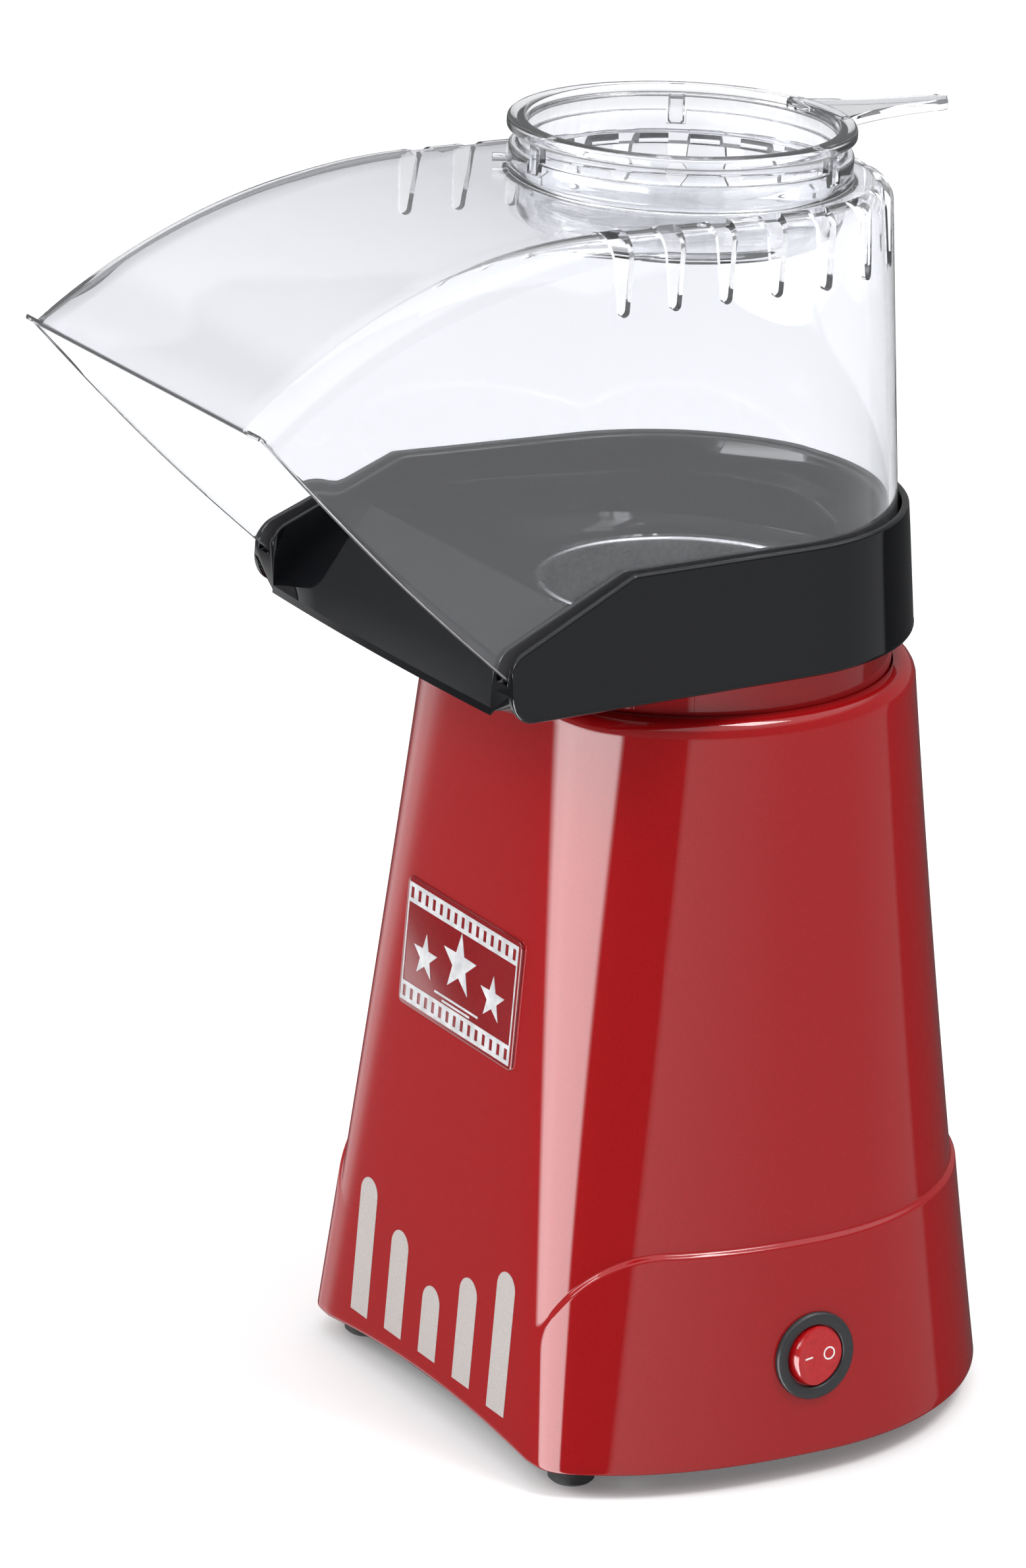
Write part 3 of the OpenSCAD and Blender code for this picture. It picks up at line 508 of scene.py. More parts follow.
def neck_radius(phi, r):
    return cut_front(r, phi, NECK_Y + NECK_FRONT - (NECK_R - r), SHOULDER_CORNER)


def neck_point(phi, r, z):
    r = neck_radius(phi, r)
    return (r * math.cos(phi), NECK_Y + r * math.sin(phi), z)


def build_body():
    """The flared shell with its skirt, rolled shoulder and inner wall."""
    angles = body_angles()
    round_z = SHOULDER_Z - SHOULDER_ROUND

    def outside(height, inset=0.0):
        heights = [height(a) for a in angles]
        return [body_point(a, z, SKIRT_T * skirt_share(a, z), inset)
                for a, z in zip(angles, heights)]

    rows = [outside(lambda a: edge_at(a) + LIP_ROUND * (1 - math.sin(t)),
                    LIP_ROUND * (1 - math.cos(t)))
            for t in (math.radians(d) for d in (90, 60, 30))]
    rows += [outside(lambda a: mix(edge_at(a) + LIP_ROUND, skirt_line(a) - 3, t))
             for t in steps(26)]
    rows += [outside(lambda a: skirt_line(a) - 2.6 + d * 0.3) for d in range(14)]
    rows += [outside(lambda a: mix(skirt_line(a) + 2, round_z, t)) for t in steps(44)]
    hole = [neck_point(a, NECK_R + NECK_GAP, 0) for a in angles]
    top = [body_point(a, round_z) for a in angles]
    shoulder = [((1 - math.cos(a)) * 0.62, round_z + SHOULDER_ROUND * math.sin(a))
                for a in (math.radians(d) for d in (15, 30, 45, 60, 75, 90))]
    shoulder += [(0.9, SHOULDER_Z), (0.98, SHOULDER_Z - 0.1), (1, SHOULDER_Z - 0.5),
                 (1, SHOULDER_Z - WALL)]
    for t, z in shoulder:
        rows.append([(mix(p[0], q[0], t), mix(p[1], q[1], t), z) for p, q in zip(top, hole)])
    ledge = SHOULDER_Z - WALL - 1.5
    rows += [[body_point(a, mix(ledge, edge_at(a) + 0.6, t), 0, WALL) for a in angles]
             for t in steps(16)]
    rows.append([body_point(a, edge_at(a), 0, WALL - 0.6) for a in angles])
    bm = bmesh.new()
    add_grid(bm, rows, along=True)
    finish_mesh(bm, "body", "root", "red_gloss", ["body_shell"], crease=60)


def build_neck():
    """A smooth red sleeve over the neck between body and tray."""
    angles = body_angles()
    outer = [(NECK_R, SHOULDER_Z - 5.4)] + [(NECK_R, mix(SHOULDER_Z - 5, TRAY_Z - 0.8, t))
                                            for t in steps(6)]
    outer += arc(NECK_R - 0.7, TRAY_Z - 0.7, 0.7, 0, 90)
    inner = [(NECK_R - 3.2, TRAY_Z), (NECK_R - 3.2, SHOULDER_Z - 5.4)]
    bm = bmesh.new()
    add_grid(bm, [[neck_point(a, r, z) for a in angles] for r, z in outer + inner], along=True)
    finish_mesh(bm, "neck", "root", "red_gloss", crease=60)


# ---- front: badge and stripes
def front_surface(x, z):
    """y of the body's front at x and z."""
    low, high = math.pi, 2 * math.pi
    for _ in range(40):
        middle = (low + high) / 2
        if body_point(middle, z)[0] < x:
            low = middle
        else:
            high = middle
    return body_point((low + high) / 2, z)[1]


BAR_W = 8.7
BAR_PITCH = 17.7
BAR_MID_H = 19.5
BAR_STEP = 9.2
BAR_FOOT_H = 8.4
BAR_FOOT_BOW = 0.32
PRINT_T = 0.1


def build_stripes():
    """Five printed bars with round tops that follow the front's surface."""
    bm = bmesh.new()
    half = BAR_W / 2
    for i in range(-2, 3):
        foot = EDGE_Z + BAR_FOOT_H - BAR_FOOT_BOW * i * i
        top = foot + BAR_MID_H + BAR_STEP * abs(i)
        heights = [mix(foot, top - half, t) for t in steps(10)]
        rows = [(z, half) for z in heights]
        rows += [(top - half + half * math.sin(a), half * math.cos(a))
                 for a in (math.radians(9 * k) for k in range(1, 11))]
        out, back = [], []
        for z, reach in rows:
            xs = [i * BAR_PITCH + reach * s for s in (-1, -0.5, 0, 0.5, 1)]
            out.append([(x, front_surface(x, z) - PRINT_T, z) for x in xs])
            back.append([(x, front_surface(x, z) + PRINT_T, z) for x in reversed(xs)])
        grid = add_grid(bm, [o + b for o, b in zip(out, back)])
        bm.faces.new(grid[0])
    finish_mesh(bm, "stripes", "root", "stripe_print", ["front_stripes"], crease=30)


BADGE_W = 57.7
BADGE_H = 34.3
BADGE_Z = EDGE_Z + 113.6
BADGE_T = 0.6
FILM_MARGIN = 1.3
BAND_H = 5.2
WINDOWS = 15
WINDOW_W = 1.5
WINDOW_H = 3.0
SIDE_LINE_W = 0.55
BADGE_CORNER = 2


def on_front(u, v, out):
    """A point of the badge: u to +X, v up the leaning front, out away from it."""
    lean_y, lean_z = math.sin(FRONT_LEAN), math.cos(FRONT_LEAN)
    y = -front_at(BADGE_Z) + v * lean_y - out * lean_z
    return world(u, y, BADGE_Z + v * lean_z + out * lean_y)


def rounded_outline(w, h, r, count=6):
    points = []
    for k, (sx, sy) in enumerate(((1, 1), (-1, 1), (-1, -1), (1, -1))):
        for t in steps(count):
            a = math.radians(90 * (k + t))
            points.append((sx * (w / 2 - r) + r * math.cos(a), sy * (h / 2 - r) + r * math.sin(a)))
    return points


def add_plate(bm, outlines, place):
    """Stacks outlines given as (points, height) into a closed plate."""
    add_capped(bm, [[(u, v, out) for u, v in points] for points, out in outlines], place)


def add_cells(bm, columns, rows, skip, low, high, place):
    """A flat sheet of cells with some left out, given a thickness."""
    made = {}

    def vertex(i, j, out):
        if (i, j, out) not in made:
            made[i, j, out] = bm.verts.new(place(columns[i], rows[j], out))
        return made[i, j, out]

    cells = {(i, j) for i in range(len(columns) - 1) for j in range(len(rows) - 1)
             if not skip(i, j)}
    for i, j in cells:
        corners = [(i, j), (i + 1, j), (i + 1, j + 1), (i, j + 1)]
        bm.faces.new([vertex(a, b, high) for a, b in corners])
        bm.faces.new([vertex(a, b, low) for a, b in reversed(corners)])
        for k, (di, dj) in enumerate(((0, -1), (1, 0), (0, 1), (-1, 0))):
            if (i + di, j + dj) not in cells:
                a, b = corners[k], corners[(k + 1) % 4]
                bm.faces.new([vertex(*b, high), vertex(*a, high), vertex(*a, low), vertex(*b, low)])


def star(cx, cy, r, points=5, waist=0.40):
    return [(cx + (r if k % 2 == 0 else r * waist) * math.sin(math.pi * k / points),
             cy + (r if k % 2 == 0 else r * waist) * math.cos(math.pi * k / points))
            for k in range(2 * points)]


def build_badge():
    """A red plate with a film strip frame and plain stars in silver."""
    bm = bmesh.new()
    add_plate(bm, [(rounded_outline(BADGE_W, BADGE_H, BADGE_CORNER), -0.4),
                   (rounded_outline(BADGE_W, BADGE_H, BADGE_CORNER), BADGE_T - 0.35),
                   (rounded_outline(BADGE_W - 0.3, BADGE_H - 0.3, 1.85), BADGE_T - 0.1),
                   (rounded_outline(BADGE_W - 0.9, BADGE_H - 0.9, 1.6), BADGE_T)], on_front)
    finish_mesh(bm, "badge_field", "root", "badge_metal", ["badge_plate"], crease=50)
    silver = badge_silver()
    low, high = BADGE_T - 0.1, BADGE_T + 0.12
    wide = BADGE_W / 2 - FILM_MARGIN
    tall = BADGE_H / 2 - FILM_MARGIN
    pitch = 2 * wide / WINDOWS
    columns = [-wide, -wide + SIDE_LINE_W]
    for k in range(WINDOWS):
        middle = -wide + pitch * (k + 0.5)
        columns += [middle - WINDOW_W / 2, middle + WINDOW_W / 2]
    columns += [wide - SIDE_LINE_W, wide]
    gap = (BAND_H - WINDOW_H) / 2
    rows = [-tall, -tall + gap, -tall + gap + WINDOW_H, -tall + BAND_H,
            tall - BAND_H, tall - gap - WINDOW_H, tall - gap, tall]
    last = len(columns) - 2

    def left_out(i, j):
        window = i % 2 == 0 and 0 < i < last
        return (j in (1, 5) and window) or (j == 3 and 0 < i < last)

    bm = bmesh.new()
    add_cells(bm, columns, rows, left_out, low, high, on_front)
    finish_mesh(bm, "badge_film", "root", "badge_metal", material=silver, crease=30)
    bm = bmesh.new()
    for cx, cy, r in ((0, 1.9, 8.6), (-17, -1.6, 6.2), (17, -1.6, 6.2)):
        add_plate(bm, [(star(cx, cy, r), low), (star(cx, cy, r), high),
                       (star(cx, cy, r * 0.55), high + 0.16)], on_front)
    for cy, half in ((-8.6, 11), (-9.9, 7)):
        add_plate(bm, [(rounded_outline(2 * half, 0.6, 0.25), low),
                       (rounded_outline(2 * half, 0.6, 0.25), high)],
                  lambda u, v, out, cy=cy: on_front(u, v + cy, out))
    finish_mesh(bm, "badge_stars", "root", "badge_metal", material=silver, crease=30)


# ---- plan shared by tray and hood
FLARE = math.radians(3)
ARC_STEPS = 56


def plan_point(station, r):
    """A point at radius r of the rounded plan: round the back or on a straight side."""
    kind, value = station
    if kind == "arc":
        return (r * math.cos(value), PLAN_Y + r * math.sin(value))
    return (kind * (r + (PLAN_Y - value) * math.sin(FLARE)) / math.cos(FLARE), value)


def plan_stations(side_y):
    """Stations from the right front end round the back to the left front end."""
    rows = [(1, y) for y in side_y]
    rows += [("arc", mix(FLARE, math.pi - FLARE, t)) for t in steps(ARC_STEPS)]
    return rows + [(-1, y) for y in reversed(side_y)]


def station_y(station, r):
    return plan_point(station, r)[1]


# ---- tray
FALL_Y = 46
FALL_H = 16.5
CHANNEL_D = 12
END_DROP = 7
FLOOR_T = 2.4
DISH_Z = LIP_Z - 24
RIDGE_Y = 58
RIDGE_Z = LIP_Z - 10
DISH_END = 37
MOUTH_R = 39.8
CHUTE_END_Z = TRAY_Z + 2
CHUTE_HALF_W = 56
END_ROUND = 3.2
EDGE = 0.45
RIM_ROUND = 0.7
UNDER_ROUND = 1
FRONT_CHAMFER = (6, 7)
FRONT_BOW = 1.2
DISH_RISE = 5
DISH_BAND = 13


def tray_lip(y):
    """Height of the tray's rim: level, then falling, with a round end."""
    fall = FALL_H * clamp((-FALL_Y - y) / (TRAY_REACH - FALL_Y))
    end = clamp((-TRAY_REACH + END_ROUND - y) / END_ROUND)
    return LIP_Z - fall - END_ROUND * (1 - math.sqrt(1 - end * end))


def channel_bottom(y):
    share = clamp((-FALL_Y - y) / (TRAY_REACH - FALL_Y))
    return mix(LIP_Z - CHANNEL_D, LIP_Z - FALL_H - END_DROP, share)


def tray_bottom(y):
    deep, high = FRONT_CHAMFER
    end = clamp((deep - TRAY_REACH - y) / deep)
    return TRAY_Z + high * (1 - math.sqrt(1 - end * end))


def floor_height(x, y):
    """Dish, ridge and chute."""
    reach = math.hypot(x, y - CHAMBER_Y)
    dish = DISH_Z + DISH_RISE * eased((reach - MOUTH_R - 1) / DISH_BAND)
    up = mix(DISH_Z, RIDGE_Z, clamp((-DISH_END - y) / (RIDGE_Y - DISH_END)))
    if y > -RIDGE_Y:
        return max(dish, up) if y > -DISH_END else max(min(dish, RIDGE_Z), up)
    return mix(RIDGE_Z, CHUTE_END_Z, clamp((-RIDGE_Y - y) / (TRAY_REACH - RIDGE_Y)))


def tray_section(station):
    """Closed section of the tray's wall: inner wall, channel and outer wall."""
    y = station_y(station, CHUTE_R)
    lip, channel, bottom = tray_lip(y), channel_bottom(y), tray_bottom(y)
    x, _ = plan_point(station, CHUTE_R)
    floor = floor_height(x, y) - 1.2
    inner, outer_in = CHUTE_R + INNER_WALL, tray_r(lip) - OUTER_WALL
    under = min(channel - 1.8, floor)
    deep = min(lip - 1, max(channel, bottom + 2.5))
    section = [(CHUTE_R - 0.8, min(floor, lip - 2)), (CHUTE_R - 0.4, mix(floor, lip, 0.5))]
    section += arc(CHUTE_R + EDGE, lip - EDGE, EDGE, 180, 90, 3)
    section += arc(inner - EDGE, lip - EDGE, EDGE, 90, 0, 3)
    section += arc(inner + EDGE, deep + EDGE, EDGE, 180, 270, 3)
    section += arc(outer_in - EDGE + 0.4, deep + EDGE, EDGE, 270, 360, 3)
    section += arc(outer_in + EDGE, lip - EDGE, EDGE, 180, 90, 3)
    section += arc(tray_r(lip) - RIM_ROUND, lip - RIM_ROUND, RIM_ROUND, 90, 0, 4)
    wall = [mix(lip - RIM_ROUND, bottom + UNDER_ROUND, t) for t in steps(6)[1:]]
    section += [(tray_r(z), z) for z in wall]
    section += arc(tray_r(bottom) - UNDER_ROUND, bottom + UNDER_ROUND, UNDER_ROUND, 0, -90, 4)
    section += [(tray_r(bottom) - OUTER_WALL, bottom + 0.2),
                (tray_r(under) - OUTER_WALL, max(under, bottom + 0.6)),
                (CHUTE_R - 0.8, min(under, floor - 0.2))]
    return [(*plan_point(station, r), z) for r, z in section]


def build_tray():
    """The tray's wall with its channel, lofted along the plan, and its floor."""
    side_y = [-TRAY_REACH + d for d in (0, 0.05, 0.2, 0.5, 1, 1.7, 2.5, 3.4, 4.6, 6, 8.5, 12)]
    side_y += [-66, -62, -59, -RIDGE_Y, -57, -54, -50, -FALL_Y - 0.3, -FALL_Y, -FALL_Y + 0.3,
               -42, -DISH_END, -30, -20, -10, 0]
    stations = plan_stations(side_y)
    bm = bmesh.new()
    grid = add_grid(bm, list(zip(*[tray_section(s) for s in stations])), around=False, along=True)
    for end in (0, -1):
        bm.faces.new([row[end] for row in grid])
    add_floor(bm)
    finish_mesh(bm, "tray", "root", "black_gloss", ["chute_tray"], crease=35)


def floor_reach(angle):
    """Distance from the chamber's axis to the tray's inner wall or front edge."""
    dx, dy = math.cos(angle), math.sin(angle)
    low, high = MOUTH_R, 140.0
    for _ in range(30):
        middle = (low + high) / 2
        x, y = dx * middle, CHAMBER_Y + dy * middle
        r = CHUTE_R - 0.2
        if y > PLAN_Y:
            inside = math.hypot(x, y - PLAN_Y) < r
        else:
            inside = abs(x) * math.cos(FLARE) < r + (PLAN_Y - y) * math.sin(FLARE)
        inside = inside and y > -TRAY_REACH - FRONT_BOW * (1 - (x / CHUTE_HALF_W) ** 2)
        low, high = (middle, high) if inside else (low, middle)
    return low


def add_floor(bm):
    """The tray's floor as a plate round the chamber's mouth."""
    count = 240
    rows = []
    for i in range(count):
        angle = 2 * math.pi * i / count
        dx, dy = math.cos(angle), math.sin(angle)
        far = floor_reach(angle)

        def line(y):
            return min(far, (y + CHAMBER_Y) / -dy) if dy < -0.05 else far

        marks = [MOUTH_R + 1, max(MOUTH_R + 1, line(DISH_END)), line(RIDGE_Y - 0.6),
                 line(RIDGE_Y + 0.6), far]
        marks = [max(MOUTH_R + 1, m) for m in marks]
        reach = [MOUTH_R + 0.5] + [mix(a, b, t) for a, b in zip(marks, marks[1:])
                                   for t in steps(6)[:-1]] + [far]
        top = [(dx * q, CHAMBER_Y + dy * q, floor_height(dx * q, CHAMBER_Y + dy * q))
               for q in reach]
        mouth = [(dx * MOUTH_R, CHAMBER_Y + dy * MOUTH_R, DISH_Z - d) for d in (FLOOR_T, 0.5)]
        under = [(x, y, z - 2) for x, y, z in reversed(top[1:])]
        rows.append(mouth + top + under)
    add_grid(bm, list(zip(*rows)), along=True)


def build_chamber_rim():
    """The chamber's rolled lip, which shows in the tray's mouth."""
    out, low, r = MOUTH_R - 0.1, DISH_Z - FLOOR_T - 1, 1.1
    profile = [(out, low)] + arc(out - r, DISH_Z - 1.2, r, 0, 180, 10) + [(out - 2 * r, low)]
    bm = bmesh.new()
    add_turned(bm, profile, count=128, centre=(0, CHAMBER_Y))
    finish_mesh(bm, "chamber_rim", "root", "aluminium")


# ---- hood
HOOD_T = 2.2
HOOD_GAP = 0.75
HOOD_Z = COLLAR_Z - 6.5
ARC_R = 158
ARC_Y = 50
HOOD_LOW = hood_low.z
CUP_R = RIM_R - 2.9
COLLAR_IN = CUP_R + 0.3
COLLAR_OUT = COLLAR_IN + 2
COLLAR_FOOT = COLLAR_OUT + 1.5
CHEEK_Y = TRAY_REACH - 1.5
CHEEK_Z = LIP_Z - FALL_H - END_DROP + 0.5
MOUTH_T = 0.9
MOUTH_TAPER = 22
SHOULDER_BACK = 4.5
SHOULDER_FRONT = 8.5
EDGE_BOW = 2.2
SIDE_SLOTS = 4
SIDE_SLOT_FROM = 0.45
BACK_SLOTS = 10
BACK_SLOT_FROM = 9.4
SLOT_W = 6.6
SLOT_NECK_W = 5.8
SLOT_FOOT_R = 1.5
SLOT_D = 19.5
SLOT_PITCH = 15.1
RIB_TURNS = (30, 150, 270)
RIB_W = 4.2
NOTCH_D = 3.6


def hood_r(z):
    """Outer radius of the hood's drafted wall at a height."""
    return CHUTE_R + INNER_WALL + HOOD_GAP + HOOD_T - (z - LIP_Z) * HOOD_DRAFT


def hood_top(y, depth=0.0):
    """Height of the hood's top, flat over the cup and curving down to the front."""
    if y > -ARC_Y:
        return HOOD_Z - depth
    return HOOD_Z - ARC_R + math.sqrt((ARC_R - depth) ** 2 - (-ARC_Y - y) ** 2)


def hood_edge(y):
    """Height of the hood's lower edge: level, sloped along the tray, then up to the tip."""
    if y > -FALL_Y:
        return HOOD_LOW
    if y > -CHEEK_Y:
        return mix(HOOD_LOW, CHEEK_Z, (-FALL_Y - y) / (CHEEK_Y - FALL_Y))
    share = (-CHEEK_Y - y) / (HOOD_REACH - CHEEK_Y)
    return mix(CHEEK_Z, hood_top(-HOOD_REACH), share) - EDGE_BOW * math.sin(math.pi * share)


def collar_angle(station):
    """Direction on the collar that a station's top row ends at, or None ahead of it."""
    kind, value = station
    start = math.asin(PLAN_Y / COLLAR_FOOT) + 0.03
    if kind == "arc":
        return mix(start, math.pi - start, (value - FLARE) / (math.pi - 2 * FLARE))
    if value < -COLLAR_FOOT - 1e-6:
        return None
    angle = math.asin(max(-1.0, value / COLLAR_FOOT))
    return angle if kind == 1 else math.pi - angle


def hood_side(station, depth):
    """Outer (depth 0) or inner section of the hood from its lower edge to its top's inner end."""
    y = station_y(station, hood_r(LIP_Z))
    thick = mix(MOUTH_T, HOOD_T, eased((y + HOOD_REACH) / MOUTH_TAPER))
    bead = thick / 2
    lost = bead - math.sqrt(bead ** 2 - clamp(bead - y - HOOD_REACH, 0, bead) ** 2)
    depth = lost if depth == 0 else thick - lost
    top = hood_top(y, depth)
    shoulder = mix(SHOULDER_BACK, SHOULDER_FRONT, clamp((30 - ARC_Y - y) / 60)) - depth * 0.8
    low = min(hood_edge(y) + 0.8, top - 0.02)
    turn = max(low, top - shoulder)
    points = [(*plan_point(station, hood_r(z) - depth), z)
              for z in (mix(low, turn, t) for t in steps(18))]
    first = math.asin(clamp((turn - top + shoulder) / shoulder))
    for t in steps(8)[1:]:
        angle = mix(first, math.pi / 2, t)
        z = top - shoulder + shoulder * math.sin(angle)
        inset = depth + shoulder * (1 - math.cos(angle))
        points.append((*plan_point(station, hood_r(z) - inset), z))
    x, y, _ = points[-1]
    angle = collar_angle(station)
    ring = COLLAR_FOOT if depth == 0 else COLLAR_IN
    end = (0.0, y) if angle is None else (ring * math.cos(angle), ring * math.sin(angle))
    points += [(mix(x, end[0], t), mix(y, end[1], t), hood_top(mix(y, end[1], t), depth))
               for t in steps(8)[1:]]
    return points


def hood_collar(station):
    """The collar's section, or the same number of repeated points ahead of it."""
    angle = collar_angle(station)
    profile = arc(COLLAR_FOOT, HOOD_Z + 1.5, 1.5, 270, 180, 4)[1:]
    profile += [(COLLAR_OUT, COLLAR_Z - 3)] + arc(COLLAR_OUT - 0.5, COLLAR_Z - 0.5, 0.5, 0, 90, 3)
    profile += arc(COLLAR_IN + 0.5, COLLAR_Z - 0.5, 0.5, 90, 180, 3)
    profile += [(COLLAR_IN, mix(COLLAR_Z, HOOD_Z - HOOD_T, t)) for t in (0.4, 0.8)]
    if angle is None:
        return [None] * len(profile)
    return [(r * math.cos(angle), r * math.sin(angle), z) for r, z in profile]


def hood_stations():
    """Stations of the hood, closer together at its mouth and at the collar."""
    count = 44
    side_y = [-HOOD_REACH + (HOOD_REACH - ARC_Y) * (i / count) ** 1.25 for i in range(count)]
    side_y += [d - HOOD_REACH for d in (0.02, 0.07, 0.15, 0.28, MOUTH_T / 2)]
    side_y += [-CHEEK_Y, -ARC_Y, -FALL_Y, -COLLAR_FOOT, -44.3, -43.6, -42.5, -41, -39, -36, -32,
               -27, -21, -15, -9, -3, 2]
    return plan_stations(sorted(side_y))


def add_hood_shell(bm):
    """Adds the hood as one closed skin: outside, collar, inside and rim."""
    stations = hood_stations()
    columns = []
    for station in stations:
        outer, inner = hood_side(station, 0), hood_side(station, HOOD_T)
        y = station_y(station, hood_r(LIP_Z))
        low = min(hood_edge(y), inner[0][2])
        middle = hood_r(outer[0][2]) - HOOD_T / 2
        rim = [(*plan_point(station, middle + HOOD_T / 2 * math.cos(math.pi * t)),
                max(low, mix(inner[0][2], outer[0][2], 0.5) - 0.8 * math.sin(math.pi * t)))
               for t in (0.75, 0.5, 0.25)]
        columns.append((outer, hood_collar(station), list(reversed(inner)), rim))
    made = [[[None if p is None else bm.verts.new(world(*p)) for p in part] for part in column]
            for column in columns]
    for near, far in zip(made, made[1:]):
        loop_near, loop_far = sum(near, []), sum(far, [])
        total = len(loop_near)
        for k in range(total):
            h = (k + 1) % total
            corners = (loop_near[k], loop_near[h], loop_far[h], loop_far[k])
            if None not in corners:
                bm.faces.new(corners)
    for outer, _, inner, _ in (made[0], made[-1]):
        inner = list(reversed(inner))
        for k in range(len(outer) - 1):
            bm.faces.new((outer[k], inner[k], inner[k + 1], outer[k + 1]))


def slot_cutter(bm, y, turn):
    """A tapered slot with a round foot, cut outward through the shoulder."""
    foot = HOOD_Z - SLOT_D + SLOT_FOOT_R
    wide, narrow = SLOT_W / 2, SLOT_NECK_W / 2
    outline = [(-wide, HOOD_Z + 3), (-narrow, HOOD_Z - 3)]
    outline += arc(0, foot, SLOT_FOOT_R, 180, 360, 9)
    outline += [(narrow, HOOD_Z - 3), (wide, HOOD_Z + 3)]
    out = Vector((math.cos(turn), math.sin(turn)))
    side = Vector((-out.y, out.x))
    rows = []
    for reach in (COLLAR_FOOT + 0.6, 70):
        rows.append([(out.x * reach + side.x * t, y + out.y * reach + side.y * t, z)
                     for t, z in outline])
    grid = add_grid(bm, rows)
    bm.faces.new(grid[0])
    bm.faces.new(list(reversed(grid[1])))


def outward(turn, r, t, z):
    """A point r away from the cup's axis in a direction and t to the side of it."""
    return (math.cos(turn) * r - math.sin(turn) * t, math.sin(turn) * r + math.cos(turn) * t, z)


def add_block(bm, turn, reach, half, heights):
    """A block that points out from the cup's axis."""
    near, far = reach
    ring = ((near, -half), (far, -half), (far, half), (near, half))
    add_capped(bm, [[outward(turn, r, t, z) for r, t in ring] for z in heights])


def build_cutters():
    """The slots along both sides and the back, and the collar's three notches."""
    bm = bmesh.new()
    for i in range(SIDE_SLOTS):
        for turn in (0, math.pi):
            slot_cutter(bm, PLAN_Y - SLOT_PITCH * (i + SIDE_SLOT_FROM), turn)
    for t in steps(BACK_SLOTS - 1):
        slot_cutter(bm, PLAN_Y, math.radians(mix(BACK_SLOT_FROM, 180 - BACK_SLOT_FROM, t)))
    for turn in RIB_TURNS:
        add_block(bm, math.radians(turn), (COLLAR_IN - 1, COLLAR_OUT + 1), RIB_W / 2 + 0.5,
                  (COLLAR_Z - NOTCH_D, COLLAR_Z + 1))
    bmesh.ops.recalc_face_normals(bm, faces=bm.faces)
    mesh = bpy.data.meshes.new("slot_cutters")
    bm.to_mesh(mesh)
    bm.free()
    cutters = bpy.data.objects.new("slot_cutters", mesh)
    bpy.context.scene.collection.objects.link(cutters)
    return cutters


def cut_away(piece, cutters):
    """Cuts one object from another, applies the result and removes the cutter."""
    cut = piece.modifiers.new("slots", "BOOLEAN")
    cut.operation, cut.solver, cut.object = "DIFFERENCE", "EXACT", cutters
    graph = bpy.context.evaluated_depsgraph_get()
    mesh = bpy.data.meshes.new_from_object(piece.evaluated_get(graph))
    piece.modifiers.clear()
    old, piece.data = piece.data, mesh
    mesh.name = piece.name
    bpy.data.meshes.remove(old)
    bpy.data.objects.remove(cutters)


def build_hood():
    bm = bmesh.new()
    add_hood_shell(bm)
    hood = finish_mesh(bm, "hood", "hood", "clear_plastic", ["clear_hood"])
    cut_away(hood, build_cutters())
    hood.data.set_sharp_from_angle(angle=math.radians(40))


PIN_TURN = math.radians(-121)
PIN_R = 1.2
PIN_END = 47
PIN_Z = COLLAR_Z - 4.5


def build_collar_pin():
    """A short round pin that stands out of the collar."""
    foot = COLLAR_OUT + 0.1
    profile = [(AXIS_HOLE, foot), (PIN_R, foot)] + arc(PIN_R - 0.3, PIN_END - 0.3, 0.3, 0, 90, 3)
    profile += [(AXIS_HOLE, PIN_END)]
    bm = bmesh.new()
    add_turned(bm, profile, count=24, closed=False,
               place=lambda x, y, z: world(*outward(PIN_TURN, z, x, PIN_Z + y)))
    finish_mesh(bm, "collar_pin", "hood", "clear_plastic")


# ---- cup
CUP_WALL = 1.8
CUP_D = 26
BOWL_ROUND = 5
FLANGE_T = 2.9
HANDLE_ROOT = 12.5
HANDLE_TIP = 3.6
HANDLE_T = 2.8


def build_cup():
    """Measuring cup: turned bowl and rim, three ribs and a handle with turned-down edges."""
    floor_z = RIM_Z - CUP_D
    under_z = floor_z - CUP_WALL
    outside = [(AXIS_HOLE, under_z), (CUP_R - BOWL_ROUND - 1, under_z)]
    outside += arc(CUP_R - BOWL_ROUND, under_z + BOWL_ROUND, BOWL_ROUND, 270, 360, 8)
    outside += [(CUP_R, mix(floor_z + 4, RIM_Z - FLANGE_T - 0.7, t)) for t in steps(6)]
    outside += [(CUP_R + 0.4, RIM_Z - FLANGE_T - 0.1), (RIM_R - 0.7, RIM_Z - FLANGE_T)]
    outside += arc(RIM_R - 0.7, RIM_Z - FLANGE_T + 0.7, 0.7, -90, 0, 4)
    outside += arc(RIM_R - 0.9, RIM_Z - 0.9, 0.9, 0, 90, 4)
    outside += arc(CUP_R - CUP_WALL + 0.8, RIM_Z - 0.8, 0.8, 90, 180, 4)
    outside += [(CUP_R - CUP_WALL, mix(RIM_Z - 2, floor_z + 5, t)) for t in steps(6)]
    outside += arc(CUP_R - CUP_WALL - 4, floor_z + 4, 4, 0, -90, 8)
    outside += [(CUP_R - 12, floor_z), (AXIS_HOLE, floor_z)]
    bm = bmesh.new()
    add_turned(bm, outside, count=144, closed=False)
    for turn in RIB_TURNS:
        add_rib(bm, math.radians(turn))
    add_handle(bm)
    finish_mesh(bm, "cup", "cup", "clear_plastic", ["measuring_cup"], CLEAR_CUP)


